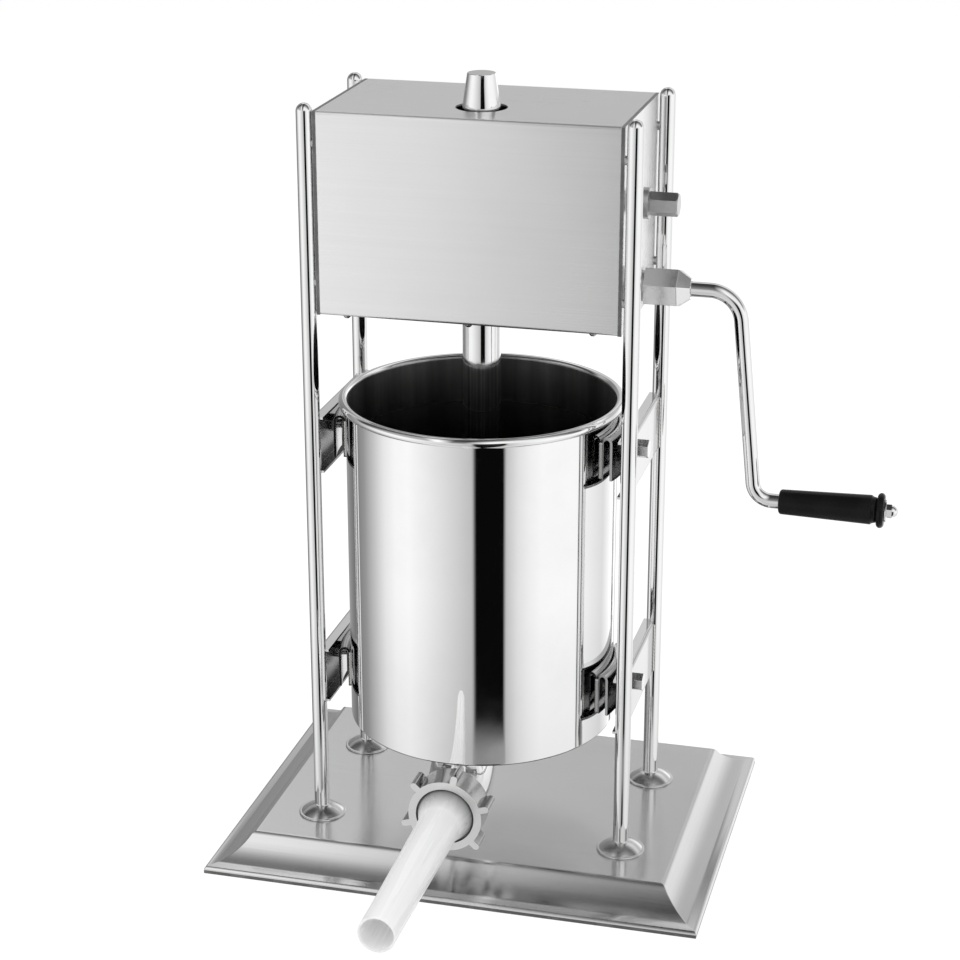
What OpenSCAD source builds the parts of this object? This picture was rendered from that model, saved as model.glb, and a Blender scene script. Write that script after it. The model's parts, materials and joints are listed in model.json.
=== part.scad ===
// Upright sausage stuffer: a rack-driven ram presses meat down a lift-off canister.
// A removable crank turns a two-speed gear train in the head. Millimetres, +Z up.
// The origin is the centre of the base's underside, the outlet faces -Y and the crank is at +X.

/* [Base] */
// Width of the base tray
base_w = 420; // [400:1:520]
// Depth of the base tray
base_d = 320; // [300:1:400]
// Height of the tray's plateau
base_h = 27; // [24:0.5:40]
// Sheet thickness of the tray
base_t = 2; // [1.5:0.1:3]
// Width of the flat lip round the tray
lip_w = 9; // [6:0.5:12]
// Height of the flat lip round the tray
lip_h = 7; // [5:0.5:9]
// Width of the hollow bevel between lip and plateau
bevel_w = 24; // [18:1:30]
// Radius of the hollow bevel
bevel_r = 40; // [30:1:80]

/* [Posts] */
// Diameter of the four posts
post_d = 13; // [12:0.5:16]
// Rise of the round post ends above the head
post_rise = 5.4; // [2:0.2:20]
// Distance of the post axes inside the head's front and rear faces
post_inset = 3.8; // [3.6:0.2:8]
// Gap between the posts and the head's side plates
post_clear = 0.9; // [0.5:0.1:2]
// Diameter of the threaded post ends
stud_d = 10; // [8:0.5:11]
// Diameter of the domed rosettes
rosette_d = 40; // [30:1:50]
// Height of the domed rosettes
rosette_h = 9; // [6:0.5:12]
// Width of the flat brim round each rosette
rosette_brim = 2; // [1:0.1:4]
// Sheet thickness of the rosettes
rosette_t = 1.5; // [1:0.1:2.5]

/* [Channels] */
// Height of the cross channels between the posts
channel_h = 48; // [44:1:56]
// Depth of the cross channels
channel_d = 10; // [8:0.5:11]
// Sheet thickness of the channels
channel_t = 2; // [1.5:0.1:3]
// Diameter of the hanger bolts
hanger_d = 8; // [7:0.5:10]
// Drop of the upper bolts below the canister's rim
hanger_top_drop = 35.5; // [34:0.5:60]
// Height of the lower bolts above the canister's bottom
hanger_low_rise = 40; // [36:0.5:60]
// Height of the hanger bolts above the middle of the channels
hanger_up = 5; // [0:0.5:8]

/* [Canister] */
// Outer diameter of the canister
can_d = 222; // [200:1:250]
// Height of the canister from bottom to rim
can_h = 281.5; // [240:0.5:340]
// Wall and floor thickness of the canister
can_t = 2; // [1.2:0.1:2.5]
// Diameter of the rolled rim's bead
rim_bead_d = 7.6; // [6:0.2:9]
// Gap between the canister's wall and the posts
post_gap = 13.5; // [13:0.5:20]
// Height of the sheet hooks
hook_h = 36; // [34:1:40]
// Sheet thickness of the hooks
hook_t = 2.2; // [1.5:0.1:2.5]
// Angle that each hook covers on the wall
hook_angle = 34; // [24:1:40]
// Lift that frees the canister from its bolts
can_lift = 14; // [10:1:15]

/* [Outlet] */
// Height of the outlet's axis
outlet_z = 79.5; // [72:0.5:100]
// Outer diameter of the outlet pipe
pipe_d = 54; // [46:1:58]
// Wall thickness of the outlet pipe
pipe_t = 2; // [1.5:0.1:3]
// Radius of the elbow's bend
elbow_r = 40; // [34:1:50]
// Straight neck between canister and bend
elbow_neck = 2; // [1:0.5:10]
// Distance of the elbow's inlet from the canister's wall
elbow_inset = 57; // [50:1:80]
// Length of the pipe's straight end
pipe_end = 19; // [16:0.5:30]
// Length of the ring nut
nut_len = 26; // [24:0.5:32]
// Thickness of the ring nut's front lip
nut_lip = 4; // [3:0.5:6]
// Wall of the ring nut around its thread
nut_wall = 3.4; // [3:0.1:6]
// Diameter of the ring nut's front opening
nut_open_d = 48.6; // [42:0.2:49]
// Height of the ring nut's wing ribs
wing_h = 7.5; // [5:0.5:10]
// Thickness of the ring nut's wing ribs
wing_t = 5.5; // [4:0.5:8]
// Number of wing ribs
wings = 6; // [4:1:8]
// Thickness of the flange gasket
gasket_t = 1.5; // [1:0.1:2]
// Reach of the stuffing tube beyond the nut's face
tube_reach = 190; // [120:1:240]
// Diameter of the stuffing tube at the nut
tube_root_d = 34.4; // [30:0.2:40]
// Diameter of the stuffing tube's straight tip
tube_tip_d = 30; // [20:0.5:30]
// Length of the stuffing tube's straight tip
tube_tip_len = 30; // [15:1:50]
// Wall thickness of the stuffing tube
tube_t = 1.8; // [1.4:0.1:3]

/* [Head] */
// Height of the loading gap between rim and head
load_gap = 71; // [64:0.5:120]
// Distance of the ram's axis in front of the base's centre
ram_forward = 34; // [20:0.5:50]
// Gap between rod and the head's front face
front_gap = 32; // [30:0.5:50]
// Gap between large gear and rear cover
rear_gap = 1.7; // [1.2:0.1:20]
// Room above the large gear
head_gap = 19.6; // [8:0.2:40]
// Sheet thickness of the covers
sheet_t = 1.5; // [1:0.1:2]
// Thickness of the side plates
side_t = 3; // [2.5:0.1:5]
// Thickness of the head's bottom plate
floor_t = 2; // [1.5:0.1:4]
// Depth of the covers' bottom flanges
flange_d = 18; // [14:0.5:24]
// Outer radius of the sheet bends
bend_r = 3; // [2.5:0.1:6]
// Diameter of the rod's hole in the top
top_hole_d = 41; // [37:0.5:60]

/* [Drive] */
// Tooth module of rack and rack pinion
rack_m = 2.5; // [2:0.25:3]
// Teeth of the rack pinion
rack_pinion_z = 18; // [18:1:22]
// Face width of the rack pinion
rack_pinion_w = 20; // [14:1:26]
// Tooth module of the gear pair
gear_m = 1.5; // [1.25:0.25:1.75]
// Teeth of the large gear
gear_z = 72; // [60:1:80]
// Teeth of the slow shaft's pinion
pinion_z = 18; // [18:1:22]
// Face width of the gear pair
gear_w = 14; // [10:1:20]
// Length of the large gear's hub
hub_len = 13; // [11:1:20]
// Diameter of both shafts
shaft_d = 20; // [16:0.5:21]
// Size across the flats of the shafts' hexagon ends
hex_af = 17; // [12:0.5:17]
// Length of the hexagon ends
hex_len = 23; // [18:0.5:30]
// Protrusion of the fast shaft's bush
fast_collar = 5.4; // [3:0.2:8]
// Protrusion of the slow shaft's bush
slow_collar = 2.8; // [1:0.2:6]

/* [Ram] */
// Diameter of the ram's rod
rod_d = 31; // [28:0.5:34]
// Diameter of the rod's top end
rod_top_d = 22.4; // [16:0.2:26]
// Height of the rod's tapered end
rod_taper_h = 29; // [15:0.5:40]
// Height of the rod's top above the head
rod_show = 27; // [10:0.5:60]
// Height of the piston
piston_h = 28; // [24:0.5:34]
// Thickness of the piston's disc
disc_t = 10; // [8:0.5:12]
// Gap between piston and canister floor at rest
piston_rest = 22; // [19:0.5:40]
// Clear height of the raised piston above the lifted rim
piston_over = 8.5; // [4:0.5:12]
// Lift of the air valve
valve_lift = 4; // [2:0.5:4]

/* [Crank] */
// Throw of the crank from shaft to grip
crank_throw = 173.5; // [140:0.5:220]
// Diameter of the crank arm
arm_d = 13; // [10:0.5:15]
// Outward lean of the arm
arm_lean = 8; // [0:0.5:15]
// Radius of the bend near the hub
arm_top_r = 26; // [20:1:40]
// Radius of the bend near the grip
arm_low_r = 16; // [12:1:30]
// Straight arm between hub and first bend
arm_stub = 15; // [8:0.5:30]
// Size across the flats of the crank's hub
hub_af = 29; // [26:0.5:34]
// Length of the hub's hexagon
hub_hex_len = 27; // [24:0.5:34]
// Turn of the hub's hexagon against its socket
hub_turn = 14; // [0:1:30]
// Length of the hub's tapered end
hub_taper = 10; // [6:0.5:16]
// Length of the grip
grip_len = 85; // [70:1:120]
// Diameter of the grip at the arm
grip_d1 = 19; // [16:0.5:24]
// Diameter of the grip at its outer end
grip_d2 = 26; // [22:0.5:32]
// Diameter of the bead round the grip's outer end
grip_bead_d = 28.5; // [26:0.5:36]
// Diameter of the spindle in the grip
spindle_d = 9; // [7:0.5:10]

/* [Hidden] */

$fn = 72;
// Clearance of a close fit, and of curved faces that pass each other
fit = 0.05;
air = 0.3;
// Overcut of a drilled or milled hole
over = 1;

// Gear sizes
pressure = 20;
tooth_play = 0.1;
root_depth = 1.25;
flank_steps = 3;
rack_pinion_r = rack_m * rack_pinion_z / 2;
gear_r = gear_m * gear_z / 2;
pinion_r = gear_m * pinion_z / 2;
gear_tip_r = gear_r + gear_m;
pinion_tip_r = pinion_r + gear_m;

// Heights, from the outlet up
can_r = can_d / 2;
can_in = can_r - can_t;
can_z = outlet_z + elbow_r + elbow_neck;
can_floor_z = can_z + can_t;
rim_z = can_z + can_h;
hanger_zs = [rim_z - hanger_top_drop, can_z + hanger_low_rise];
head_z = rim_z + load_gap;
floor_top = head_z + sheet_t + floor_t;
mesh_gap = 1;
slow_z = floor_top + mesh_gap + pinion_tip_r;
fast_z = slow_z + gear_r + pinion_r;
head_top = fast_z + gear_tip_r + head_gap + sheet_t;

// Depths, from the ram's axis
axis_y = -ram_forward;
rod_r = rod_d / 2;
rack_flat = 2.5;
rack_tip = rod_r - rack_flat;
rack_pitch = rack_tip - rack_m;
shaft_y = axis_y + rack_pitch + rack_pinion_r;
head_front = axis_y - rod_r - front_gap;
head_rear = shaft_y + gear_tip_r + rear_gap + sheet_t;

// Widths, from the canister out
post_r = post_d / 2;
post_x = can_r + post_gap + post_r;
post_ys = [head_front + post_inset, head_rear - post_inset];
post_top = head_top + post_rise;
head_half = post_x - post_r - post_clear;
inside_half = head_half - side_t;
web_out = post_x + channel_t / 2;
channel_in = web_out - channel_d;

// Post fasteners
stud_r = stud_d / 2;
washer_t = 2;
nut_h = 8;
hex_ratio = 1.7;
nut_af = stud_d * hex_ratio;
stud_below = 3;
stud_z = base_h - base_t - washer_t - nut_h - stud_below;
post_screw_d = 4;
post_screw_head_r = 3.2;
post_screw_head_h = 1.6;
spacer_r = 3.6;
spacer_seat = 1.6;
spacer_out = post_x - post_r + spacer_seat;
post_screw_grip = 2;
post_screw_end = post_x + post_screw_grip;
post_screw_in = 26;
post_screw_zs = [head_z + post_screw_in, head_top - post_screw_in];

// Cover fasteners
cover_screw_d = 4;
cover_screw_x = 100;
cover_screw_xs = [-cover_screw_x, 0, cover_screw_x];
cover_screw_inset = 6.2;
cover_screw_ys = [head_front + cover_screw_inset, head_rear - cover_screw_inset];
cover_head_r = 3.2;
cover_head_h = 3;
cover_screw_past = 1;

// Hooks and hanger bolts
hook_gap = 0.8;
hook_r0 = can_r + fit;
hook_depth = channel_in - hook_gap - hook_r0;
hook_below = 17.5;
hanger_r = hanger_d / 2;
hanger_tip_gap = 3;
hanger_tip = can_r + hanger_tip_gap;
hanger_head_h = 7;
hanger_nut_h = 6;
hanger_af = hanger_d * hex_ratio;

// Bushes and shafts
shaft_r = shaft_d / 2;
bush_wall = 2.5;
bush_r = shaft_r + bush_wall;
bush_flange_w = 3;
bush_floor_gap = 0.5;
bush_flange_r = min(bush_r + bush_flange_w, pinion_tip_r + mesh_gap - bush_floor_gap);
bush_flange_t = 3;
bush_in = inside_half - bush_flange_t;
collar_t = 6;
collar_wall = 4;
collar_r = shaft_r + collar_wall;
key_w = 6;
key_h = 6;
key_depth = 3;
gear_x0 = rack_pinion_w / 2 + hub_len;
gear_x1 = gear_x0 + gear_w;
gear_hub_wall = 8;
gear_hub_r = shaft_r + gear_hub_wall;
gear_web_t = 8;
gear_recess_d = (gear_w - gear_web_t) / 2;
gear_rim_r = gear_r - 4 * gear_m;
gear_holes = 5;
gear_hole_at = (gear_hub_r + gear_rim_r) / 2;
gear_hole_r = (gear_rim_r - gear_hub_r) / 3;
pinion_side = 1;
hex_chamfer = 1.5;
hex_tip_r = hex_af / 2 - 0.2;

// Rod and rack
rack_run = 24;
ram_travel = rim_z + can_lift + piston_over - can_floor_z - piston_rest;
rack_step = PI * rack_m;
rack_low_z = fast_z - ram_travel - rack_run;
rack_high_z = fast_z + rack_run;
rod_top_z = head_top + rod_show;
rod_bush_wall = 6;
rod_bush_r = rod_r + rod_bush_wall;
rod_bush_flange_w = 5;
rod_bush_flange_r = rod_bush_r + rod_bush_flange_w;
rod_bush_rise = 4;
guide_h = 32;
guide_bar_t = 8;
guide_bar_gap = 1.5;
guide_bar_y = shaft_y - gear_tip_r - guide_bar_gap;
guide_zs = [fast_z - guide_h / 2, fast_z + guide_h / 2];
guide_nose_w = 40;
guide_wrap = 7.5;

// Piston
piston_z = can_floor_z + piston_rest;
piston_top = piston_z + piston_h;
piston_gap = 1.7;
piston_r = can_in - piston_gap;
piston_rim = 12.5;
seal_h = 10;
seal_depth = 4.5;
seal_z = piston_z + disc_t;
piston_hub_r = 26;
piston_ribs = 6;
rib_t = 5;
rib_drop = 6;
spigot_r = 10;
pocket_r = 20;
pocket_h = 17;
piston_washer_t = 2;
piston_nut_h = 12;
piston_nut_af = 30;
spigot_past = 1;
washer_z = piston_z + pocket_h - piston_washer_t;
spigot_z = washer_z - piston_nut_h - spigot_past;
washer_gap = 1;
valve_x = (piston_hub_r + piston_r - piston_rim) / 2;
valve_r = 4;
valve_head_r = 9.5;
valve_head_h = 5;
valve_knob_r = 8;
valve_knob_h = 5;
valve_knob_gap = 0.1;
valve_past = 1;

// Outlet
pipe_r = pipe_d / 2;
pipe_in = pipe_r - pipe_t;
elbow_y = axis_y - can_r + elbow_inset;
pipe_bend_y = elbow_y - elbow_r;
pipe_face_y = pipe_bend_y - pipe_end;
flange_t = 2.4;
flange_gap = 0.2;
flange_r = pipe_r - flange_gap;
flange_y0 = pipe_face_y - gasket_t;
flange_y1 = flange_y0 - flange_t;
nut_seat_gap = 0.1;
nut_seat_y = flange_y1 - nut_seat_gap;
nut_face_y = nut_seat_y - nut_lip;
nut_bore_r = pipe_r + air;
nut_r = nut_bore_r + nut_wall;
wing_back = 5;
wing_len = nut_len - wing_back;
wing_turn = 17;
wing_root = 2;
cone_gap = 1;
cone_r = nut_open_d / 2 - cone_gap;
cone_past = 4;
cone_len = nut_lip + cone_past;
tube_tip_y = nut_face_y - tube_reach;

// Crank
arm_r = arm_d / 2;
arm_lap = 0.5;
arm_step = 0.02;
arm_run_r = arm_r - arm_step;
hub_gap = 0.6;
hub_x0 = head_half + slow_collar + hub_gap;
hub_x1 = hub_x0 + hub_hex_len;
hub_x2 = hub_x1 + hub_taper;
hub_end_wall = 2.5;
hub_end_r = arm_r + hub_end_wall;
slow_hex_x0 = head_half + slow_collar;
socket_past = 1;
socket_play = 0.2;
socket_end = slow_hex_x0 + hex_len + socket_past;
arm_seat = 0.5;
arm_x0 = socket_end + arm_seat;
arm_bend_x = hub_x2 + arm_stub;
arm_straight = (crank_throw - (arm_top_r + arm_low_r) * (1 - sin(arm_lean))) / cos(arm_lean);
bend1_end = [arm_bend_x + arm_top_r * cos(arm_lean), slow_z - arm_top_r * (1 - sin(arm_lean))];
bend2_start = bend1_end + arm_straight * [sin(arm_lean), -cos(arm_lean)];
bend2_centre = bend2_start + arm_low_r * [cos(arm_lean), sin(arm_lean)];
grip_z = slow_z - crank_throw;
grip_stand = 1;
grip_x0 = bend2_centre[0] + grip_stand;
grip_x1 = grip_x0 + air + grip_len;
spindle_r = spindle_d / 2;
spindle_play = 0.08;
shoulder_x = grip_x1 + air;
grip_thread_r = spindle_r - 1.5;
grip_washer_t = 1.5;
cap_x0 = shoulder_x + grip_washer_t;
cap_hex_h = 4;
cap_thread = 5;
cap_dome_r = grip_thread_r + 2;
cap_af = 2 * grip_thread_r * hex_ratio;

STEEL = "lightsteelblue";
BRIGHT = "silver";
BRONZE = "peru";

// Cylinder and hexagon along X or Y, and a ring along Z
module along_x(x0, x1, y, z, r)
    translate([min(x0, x1), y, z]) rotate([0, 90, 0]) cylinder(h = abs(x1 - x0), r = r);
module along_y(y0, y1, x, z, r)
    translate([x, max(y0, y1), z]) rotate([90, 0, 0]) cylinder(h = abs(y1 - y0), r = r);
module hex_x(x0, x1, y, z, af)
    translate([min(x0, x1), y, z]) rotate([0, 90, 0]) cylinder(h = abs(x1 - x0), r = af / sqrt(3), $fn = 6);
module ring_z(z0, z1, r_out, r_in, x = 0, y = 0)
    translate([x, y, z0]) difference() {
        cylinder(h = z1 - z0, r = r_out);
        translate([0, 0, -over]) cylinder(h = z1 - z0 + 2 * over, r = r_in);
    }

// Hexagon nut standing on Z = 0
module hex_nut(h, af, bore) difference() {
    cylinder(h = h, r = af / sqrt(3), $fn = 6);
    translate([0, 0, -over]) cylinder(h = h + 2 * over, r = bore);
}

// Box from its low and high corners
module box(low, high) translate(low) cube(high - low);

// Places a shape at all four posts
module at_posts() for (x = [-post_x, post_x]) for (y = post_ys) translate([x, y, 0]) children();

// Solid form of the tray, shrunk by the sheet thickness for its inside
module tray_form(inset) {
    lip_x = base_w / 2 - lip_w;
    lip_y = base_d / 2 - lip_w;
    rise = base_h - lip_h;
    chord = sqrt(bevel_w * bevel_w + rise * rise);
    reach = sqrt(bevel_r * bevel_r - chord * chord / 4) / chord;
    centre_out = -bevel_w / 2 + rise * reach;
    centre_z = (base_h + lip_h) / 2 + bevel_w * reach;
    r = bevel_r + inset;
    box([-base_w / 2 + inset, -base_d / 2 + inset, -inset],
        [base_w / 2 - inset, base_d / 2 - inset, lip_h - inset]);
    difference() {
        box([-lip_x, -lip_y, -inset], [lip_x, lip_y, base_h - inset]);
        for (side = [-1, 1]) {
            along_y(-base_d, base_d, side * (lip_x + centre_out), centre_z, r);
            along_x(-base_w, base_w, side * (lip_y + centre_out), centre_z, r);
        }
    }
}

module base_tray() color(STEEL) difference() {
    tray_form(0);
    tray_form(base_t);
    at_posts() translate([0, 0, base_h - base_t - over])
        cylinder(h = base_t + 2 * over, r = stud_r + fit);
}

// One post: threaded stud, bright shaft with seats for its spacers, round end
module post(side, y) color(BRIGHT) difference() {
    translate([side * post_x, y, 0]) {
        translate([0, 0, stud_z]) cylinder(h = base_h - stud_z + over, r = stud_r);
        translate([0, 0, base_h]) cylinder(h = post_top - post_r - base_h, r = post_r);
        translate([0, 0, post_top - post_r]) sphere(r = post_r);
    }
    for (z = post_screw_zs) {
        along_x(side * (head_half - over), side * spacer_out, y, z, spacer_r + fit);
        along_x(side * head_half, side * (post_screw_end + over / 2), y, z, post_screw_d / 2 + fit);
    }
}
module post_front_left() post(-1, post_ys[0]);
module post_front_right() post(1, post_ys[0]);
module post_rear_left() post(-1, post_ys[1]);
module post_rear_right() post(1, post_ys[1]);

// Domed cover plates with a flat brim, round the feet of the posts
module post_rosettes() color(BRIGHT) {
    foot_r = rosette_d / 2 - rosette_brim;
    dome_r = (foot_r * foot_r + rosette_h * rosette_h) / (2 * rosette_h);
    at_posts() translate([0, 0, base_h]) difference() {
        union() {
            difference() {
                translate([0, 0, rosette_h - dome_r]) sphere(r = dome_r);
                translate([0, 0, -2 * dome_r]) cylinder(h = 2 * dome_r, r = 2 * dome_r);
            }
            cylinder(h = rosette_t, r = rosette_d / 2);
        }
        translate([0, 0, rosette_h - dome_r]) sphere(r = dome_r - rosette_t);
        translate([0, 0, -over]) cylinder(h = rosette_h + 2 * over, r = post_r + fit);
    }
}
module post_washers() color(BRIGHT) at_posts()
    ring_z(base_h - base_t - washer_t, base_h - base_t, stud_d, stud_r + fit);
module post_nuts() color(BRIGHT) at_posts()
    translate([0, 0, base_h - base_t - washer_t - nut_h]) hex_nut(nut_h, nut_af, stud_r + fit);

// C section with its web outside, drawn with the web's outer face on the Z axis
module channel_section() {
    round_r = 1.5 * channel_t;
    difference() {
        union() {
            translate([-channel_d, -channel_h / 2]) square([channel_d - round_r, channel_h]);
            translate([-channel_d, -channel_h / 2 + round_r]) square([channel_d, channel_h - 2 * round_r]);
            for (s = [-1, 1]) translate([-round_r, s * (channel_h / 2 - round_r)]) circle(r = round_r);
        }
        translate([-channel_d - over, -channel_h / 2 + channel_t])
            square([channel_d - channel_t + over, channel_h - 2 * channel_t]);
    }
}
// Channel between two posts, drilled at z for its hanger bolt
module channel(side, z) color(BRIGHT) difference() {
    translate([0, post_ys[1], z - hanger_up]) rotate([90, 0, 0])
        linear_extrude(height = post_ys[1] - post_ys[0])
            mirror([side < 0 ? 1 : 0, 0]) translate([web_out, 0]) channel_section();
    at_posts() translate([0, 0, base_h]) cylinder(h = post_top - base_h, r = post_r + fit);
    along_x(side * (channel_in - over), side * (web_out + over), axis_y, z, hanger_r + fit);
}
module channel_upper_left() channel(-1, hanger_zs[0]);
module channel_upper_right() channel(1, hanger_zs[0]);
module channel_lower_left() channel(-1, hanger_zs[1]);
module channel_lower_right() channel(1, hanger_zs[1]);

// Bolts whose plain inner ends carry the canister's hooks
module hanger_bolts() color(BRIGHT) for (side = [-1, 1]) for (z = hanger_zs) {
    along_x(side * hanger_tip, side * (web_out + over), axis_y, z, hanger_r);
    hex_x(side * web_out, side * (web_out + hanger_head_h), axis_y, z, hanger_af);
}
module hanger_nuts() color(BRIGHT) for (side = [-1, 1]) for (z = hanger_zs) difference() {
    hex_x(side * (web_out - channel_t), side * (web_out - channel_t - hanger_nut_h), axis_y, z, hanger_af);
    along_x(side * channel_in, side * web_out, axis_y, z, hanger_r + fit);
}

// Side plates of the head carry both shafts and stand on the posts
module side_plate(side) color(STEEL) difference() {
    box([side > 0 ? inside_half : -head_half, head_front, head_z],
        [side > 0 ? head_half : -inside_half, head_rear, head_top]);
    for (z = [fast_z, slow_z])
        along_x(side * (inside_half - over), side * (head_half + over), shaft_y, z, bush_r + fit);
    for (y = post_ys) for (z = post_screw_zs) {
        along_x(side * (inside_half - over), side * (head_half + over), y, z, post_screw_d / 2 + fit);
        translate([side * inside_half, y, z]) rotate([0, side * 90, 0]) countersink(fit);
    }
}
module countersink(play)
    cylinder(h = post_screw_head_h, r1 = post_screw_head_r + play, r2 = post_screw_d / 2 + play);
module side_plate_left() side_plate(-1);
module side_plate_right() side_plate(1);

// Quarter of a bent sheet, its outer corner at the origin and its legs along +u and +v
module bend_corner() translate([bend_r, bend_r]) intersection() {
    difference() {
        circle(r = bend_r);
        circle(r = bend_r - sheet_t);
    }
    translate([-bend_r, -bend_r]) square(bend_r);
}

// Runs a section in the YZ plane from one side plate to the other
module across_head() translate([-inside_half + fit, 0, 0]) rotate([90, 0, 90])
    linear_extrude(height = 2 * (inside_half - fit)) children();

// Folded front cover: bottom flange, front and top in one sheet
module front_cover() color(STEEL) difference() {
    across_head() {
        translate([head_front, head_z]) bend_corner();
        translate([head_front + bend_r, head_z]) square([flange_d - bend_r, sheet_t]);
        translate([head_front, head_z + bend_r]) square([sheet_t, head_top - head_z - 2 * bend_r]);
        translate([head_front, head_top]) mirror([0, 1]) bend_corner();
        translate([head_front + bend_r, head_top - sheet_t])
            square([head_rear - head_front - bend_r, sheet_t]);
    }
    translate([0, axis_y, head_top - sheet_t - over]) cylinder(h = sheet_t + 2 * over, d = top_hole_d);
    cover_screw_holes(cover_screw_ys[0]);
}
module cover_screw_holes(y) for (x = cover_screw_xs) translate([x, y, head_z - over])
    cylinder(h = sheet_t + floor_t + 2 * over, r = cover_screw_d / 2 + fit);

// Rear cover hooks under the top sheet and screws on from below
module rear_cover() color(STEEL) difference() {
    across_head() {
        translate([head_rear, head_z]) mirror([1, 0]) bend_corner();
        translate([head_rear - flange_d, head_z]) square([flange_d - bend_r, sheet_t]);
        translate([head_rear - sheet_t, head_z + bend_r])
            square([sheet_t, head_top - sheet_t - head_z - bend_r]);
    }
    cover_screw_holes(cover_screw_ys[1]);
}
module bottom_plate() color(STEEL) difference() {
    box([-inside_half, head_front + bend_r, head_z + sheet_t],
        [inside_half, head_rear - bend_r, floor_top]);
    translate([0, axis_y, head_z]) cylinder(h = floor_top - head_z + over, r = rod_bush_r + fit);
    for (y = cover_screw_ys) cover_screw_holes(y);
}

// Round-headed screws from below
module cover_screws() color(BRIGHT) for (x = cover_screw_xs, y = cover_screw_ys) translate([x, y, head_z]) {
    translate([0, 0, -over])
        cylinder(h = floor_top - head_z + over + cover_screw_past, r = cover_screw_d / 2);
    rotate([180, 0, 0]) screw_head(cover_head_r, cover_head_h);
}
module screw_head(r, h) {
    dome_r = (r * r + h * h) / (2 * h);
    intersection() {
        cylinder(h = h, r = r);
        translate([0, 0, h - dome_r]) sphere(r = dome_r);
    }
}

// Short spacers and countersunk screws that tie the side plates to the posts
module post_spacers() color(BRIGHT) for (side = [-1, 1], y = post_ys, z = post_screw_zs) difference() {
    along_x(side * head_half, side * spacer_out, y, z, spacer_r);
    along_x(side * (head_half - over), side * (spacer_out + over), y, z, post_screw_d / 2 + fit);
}
module post_screws() color(BRIGHT) for (side = [-1, 1], y = post_ys, z = post_screw_zs) {
    along_x(side * inside_half, side * post_screw_end, y, z, post_screw_d / 2);
    translate([side * inside_half, y, z]) rotate([0, side * 90, 0]) countersink(0);
}

// Flanged bush that guides the rod through the bottom plate
module rod_bush() color(BRONZE) translate([0, axis_y, 0]) difference() {
    union() {
        translate([0, 0, head_z]) cylinder(h = floor_top - head_z + rod_bush_rise, r = rod_bush_r);
        translate([0, 0, floor_top]) cylinder(h = rod_bush_rise, r = rod_bush_flange_r);
    }
    translate([0, 0, head_z - over])
        cylinder(h = floor_top - head_z + rod_bush_rise + 2 * over, r = rod_r + fit);
}

// Bridge between the side plates that backs the rod against the rack pinion
module guide_bridge() color(STEEL) difference() {
    union() {
        box([-inside_half, guide_bar_y - guide_bar_t, guide_zs[0]], [inside_half, guide_bar_y, guide_zs[1]]);
        box([-guide_nose_w / 2, guide_bar_y - guide_bar_t, guide_zs[0]],
            [guide_nose_w / 2, axis_y - rod_r + guide_wrap, guide_zs[1]]);
    }
    translate([0, axis_y, guide_zs[0] - over]) cylinder(h = guide_h + 2 * over, r = rod_r + fit);
}

// Bronze bushes with an inner flange; the right-hand ones stand out as collars
module shaft_bushes() color(BRONZE) {
    shaft_bush(1, fast_z, fast_collar);
    shaft_bush(1, slow_z, slow_collar);
    shaft_bush(-1, fast_z, 0);
    shaft_bush(-1, slow_z, 0);
}
module shaft_bush(side, z, collar) difference() {
    union() {
        along_x(side * bush_in, side * (head_half + collar), shaft_y, z, bush_r);
        along_x(side * bush_in, side * inside_half, shaft_y, z, bush_flange_r);
    }
    along_x(side * (bush_in - over), side * (head_half + collar + over), shaft_y, z, shaft_r + fit);
}

// Involute gear outline with a tooth on the u axis
function involute(a) = tan(a) * 180 / PI - a;
function polar(r, a) = [r * cos(a), r * sin(a)];
module gear_outline(m, z) {
    r = m * z / 2;
    base_r = r * cos(pressure);
    tip_r = r + m;
    root_r = r - root_depth * m;
    start_r = max(base_r, root_r);
    half = (PI * m / 2 - tooth_play) / (2 * r) * 180 / PI + involute(pressure);
    radii = [for (i = [0 : flank_steps]) start_r + (tip_r - start_r) * i / flank_steps];
    spread = [for (q = radii) half - involute(acos(min(1, base_r / q)))];
    polygon([for (k = [0 : z - 1]) let (c = 360 * k / z) each concat(
        root_r < base_r ? [polar(root_r, c - spread[0])] : [],
        [for (i = [0 : flank_steps]) polar(radii[i], c - spread[i])],
        [for (i = [flank_steps : -1 : 0]) polar(radii[i], c + spread[i])],
        root_r < base_r ? [polar(root_r, c + spread[0])] : [])]);
}
// Toothed wheel along X, with one tooth turned to the given angle in the YZ plane
module gear_x(x0, x1, z, m, teeth, turn)
    translate([x0, shaft_y, z]) rotate([90, 0, 90]) linear_extrude(height = x1 - x0)
        rotate([0, 0, turn]) gear_outline(m, teeth);

// Hexagon shaft end, chamfered at its tip
module hex_end(x0, z) intersection() {
    hex_x(x0 - over, x0 + hex_len, shaft_y, z, hex_af);
    union() {
        along_x(x0 - over, x0 + hex_len - hex_chamfer, shaft_y, z, shaft_r);
        translate([x0 + hex_len - hex_chamfer, shaft_y, z]) rotate([0, 90, 0])
            cylinder(h = hex_chamfer, r1 = shaft_r, r2 = hex_tip_r);
    }
}

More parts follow.
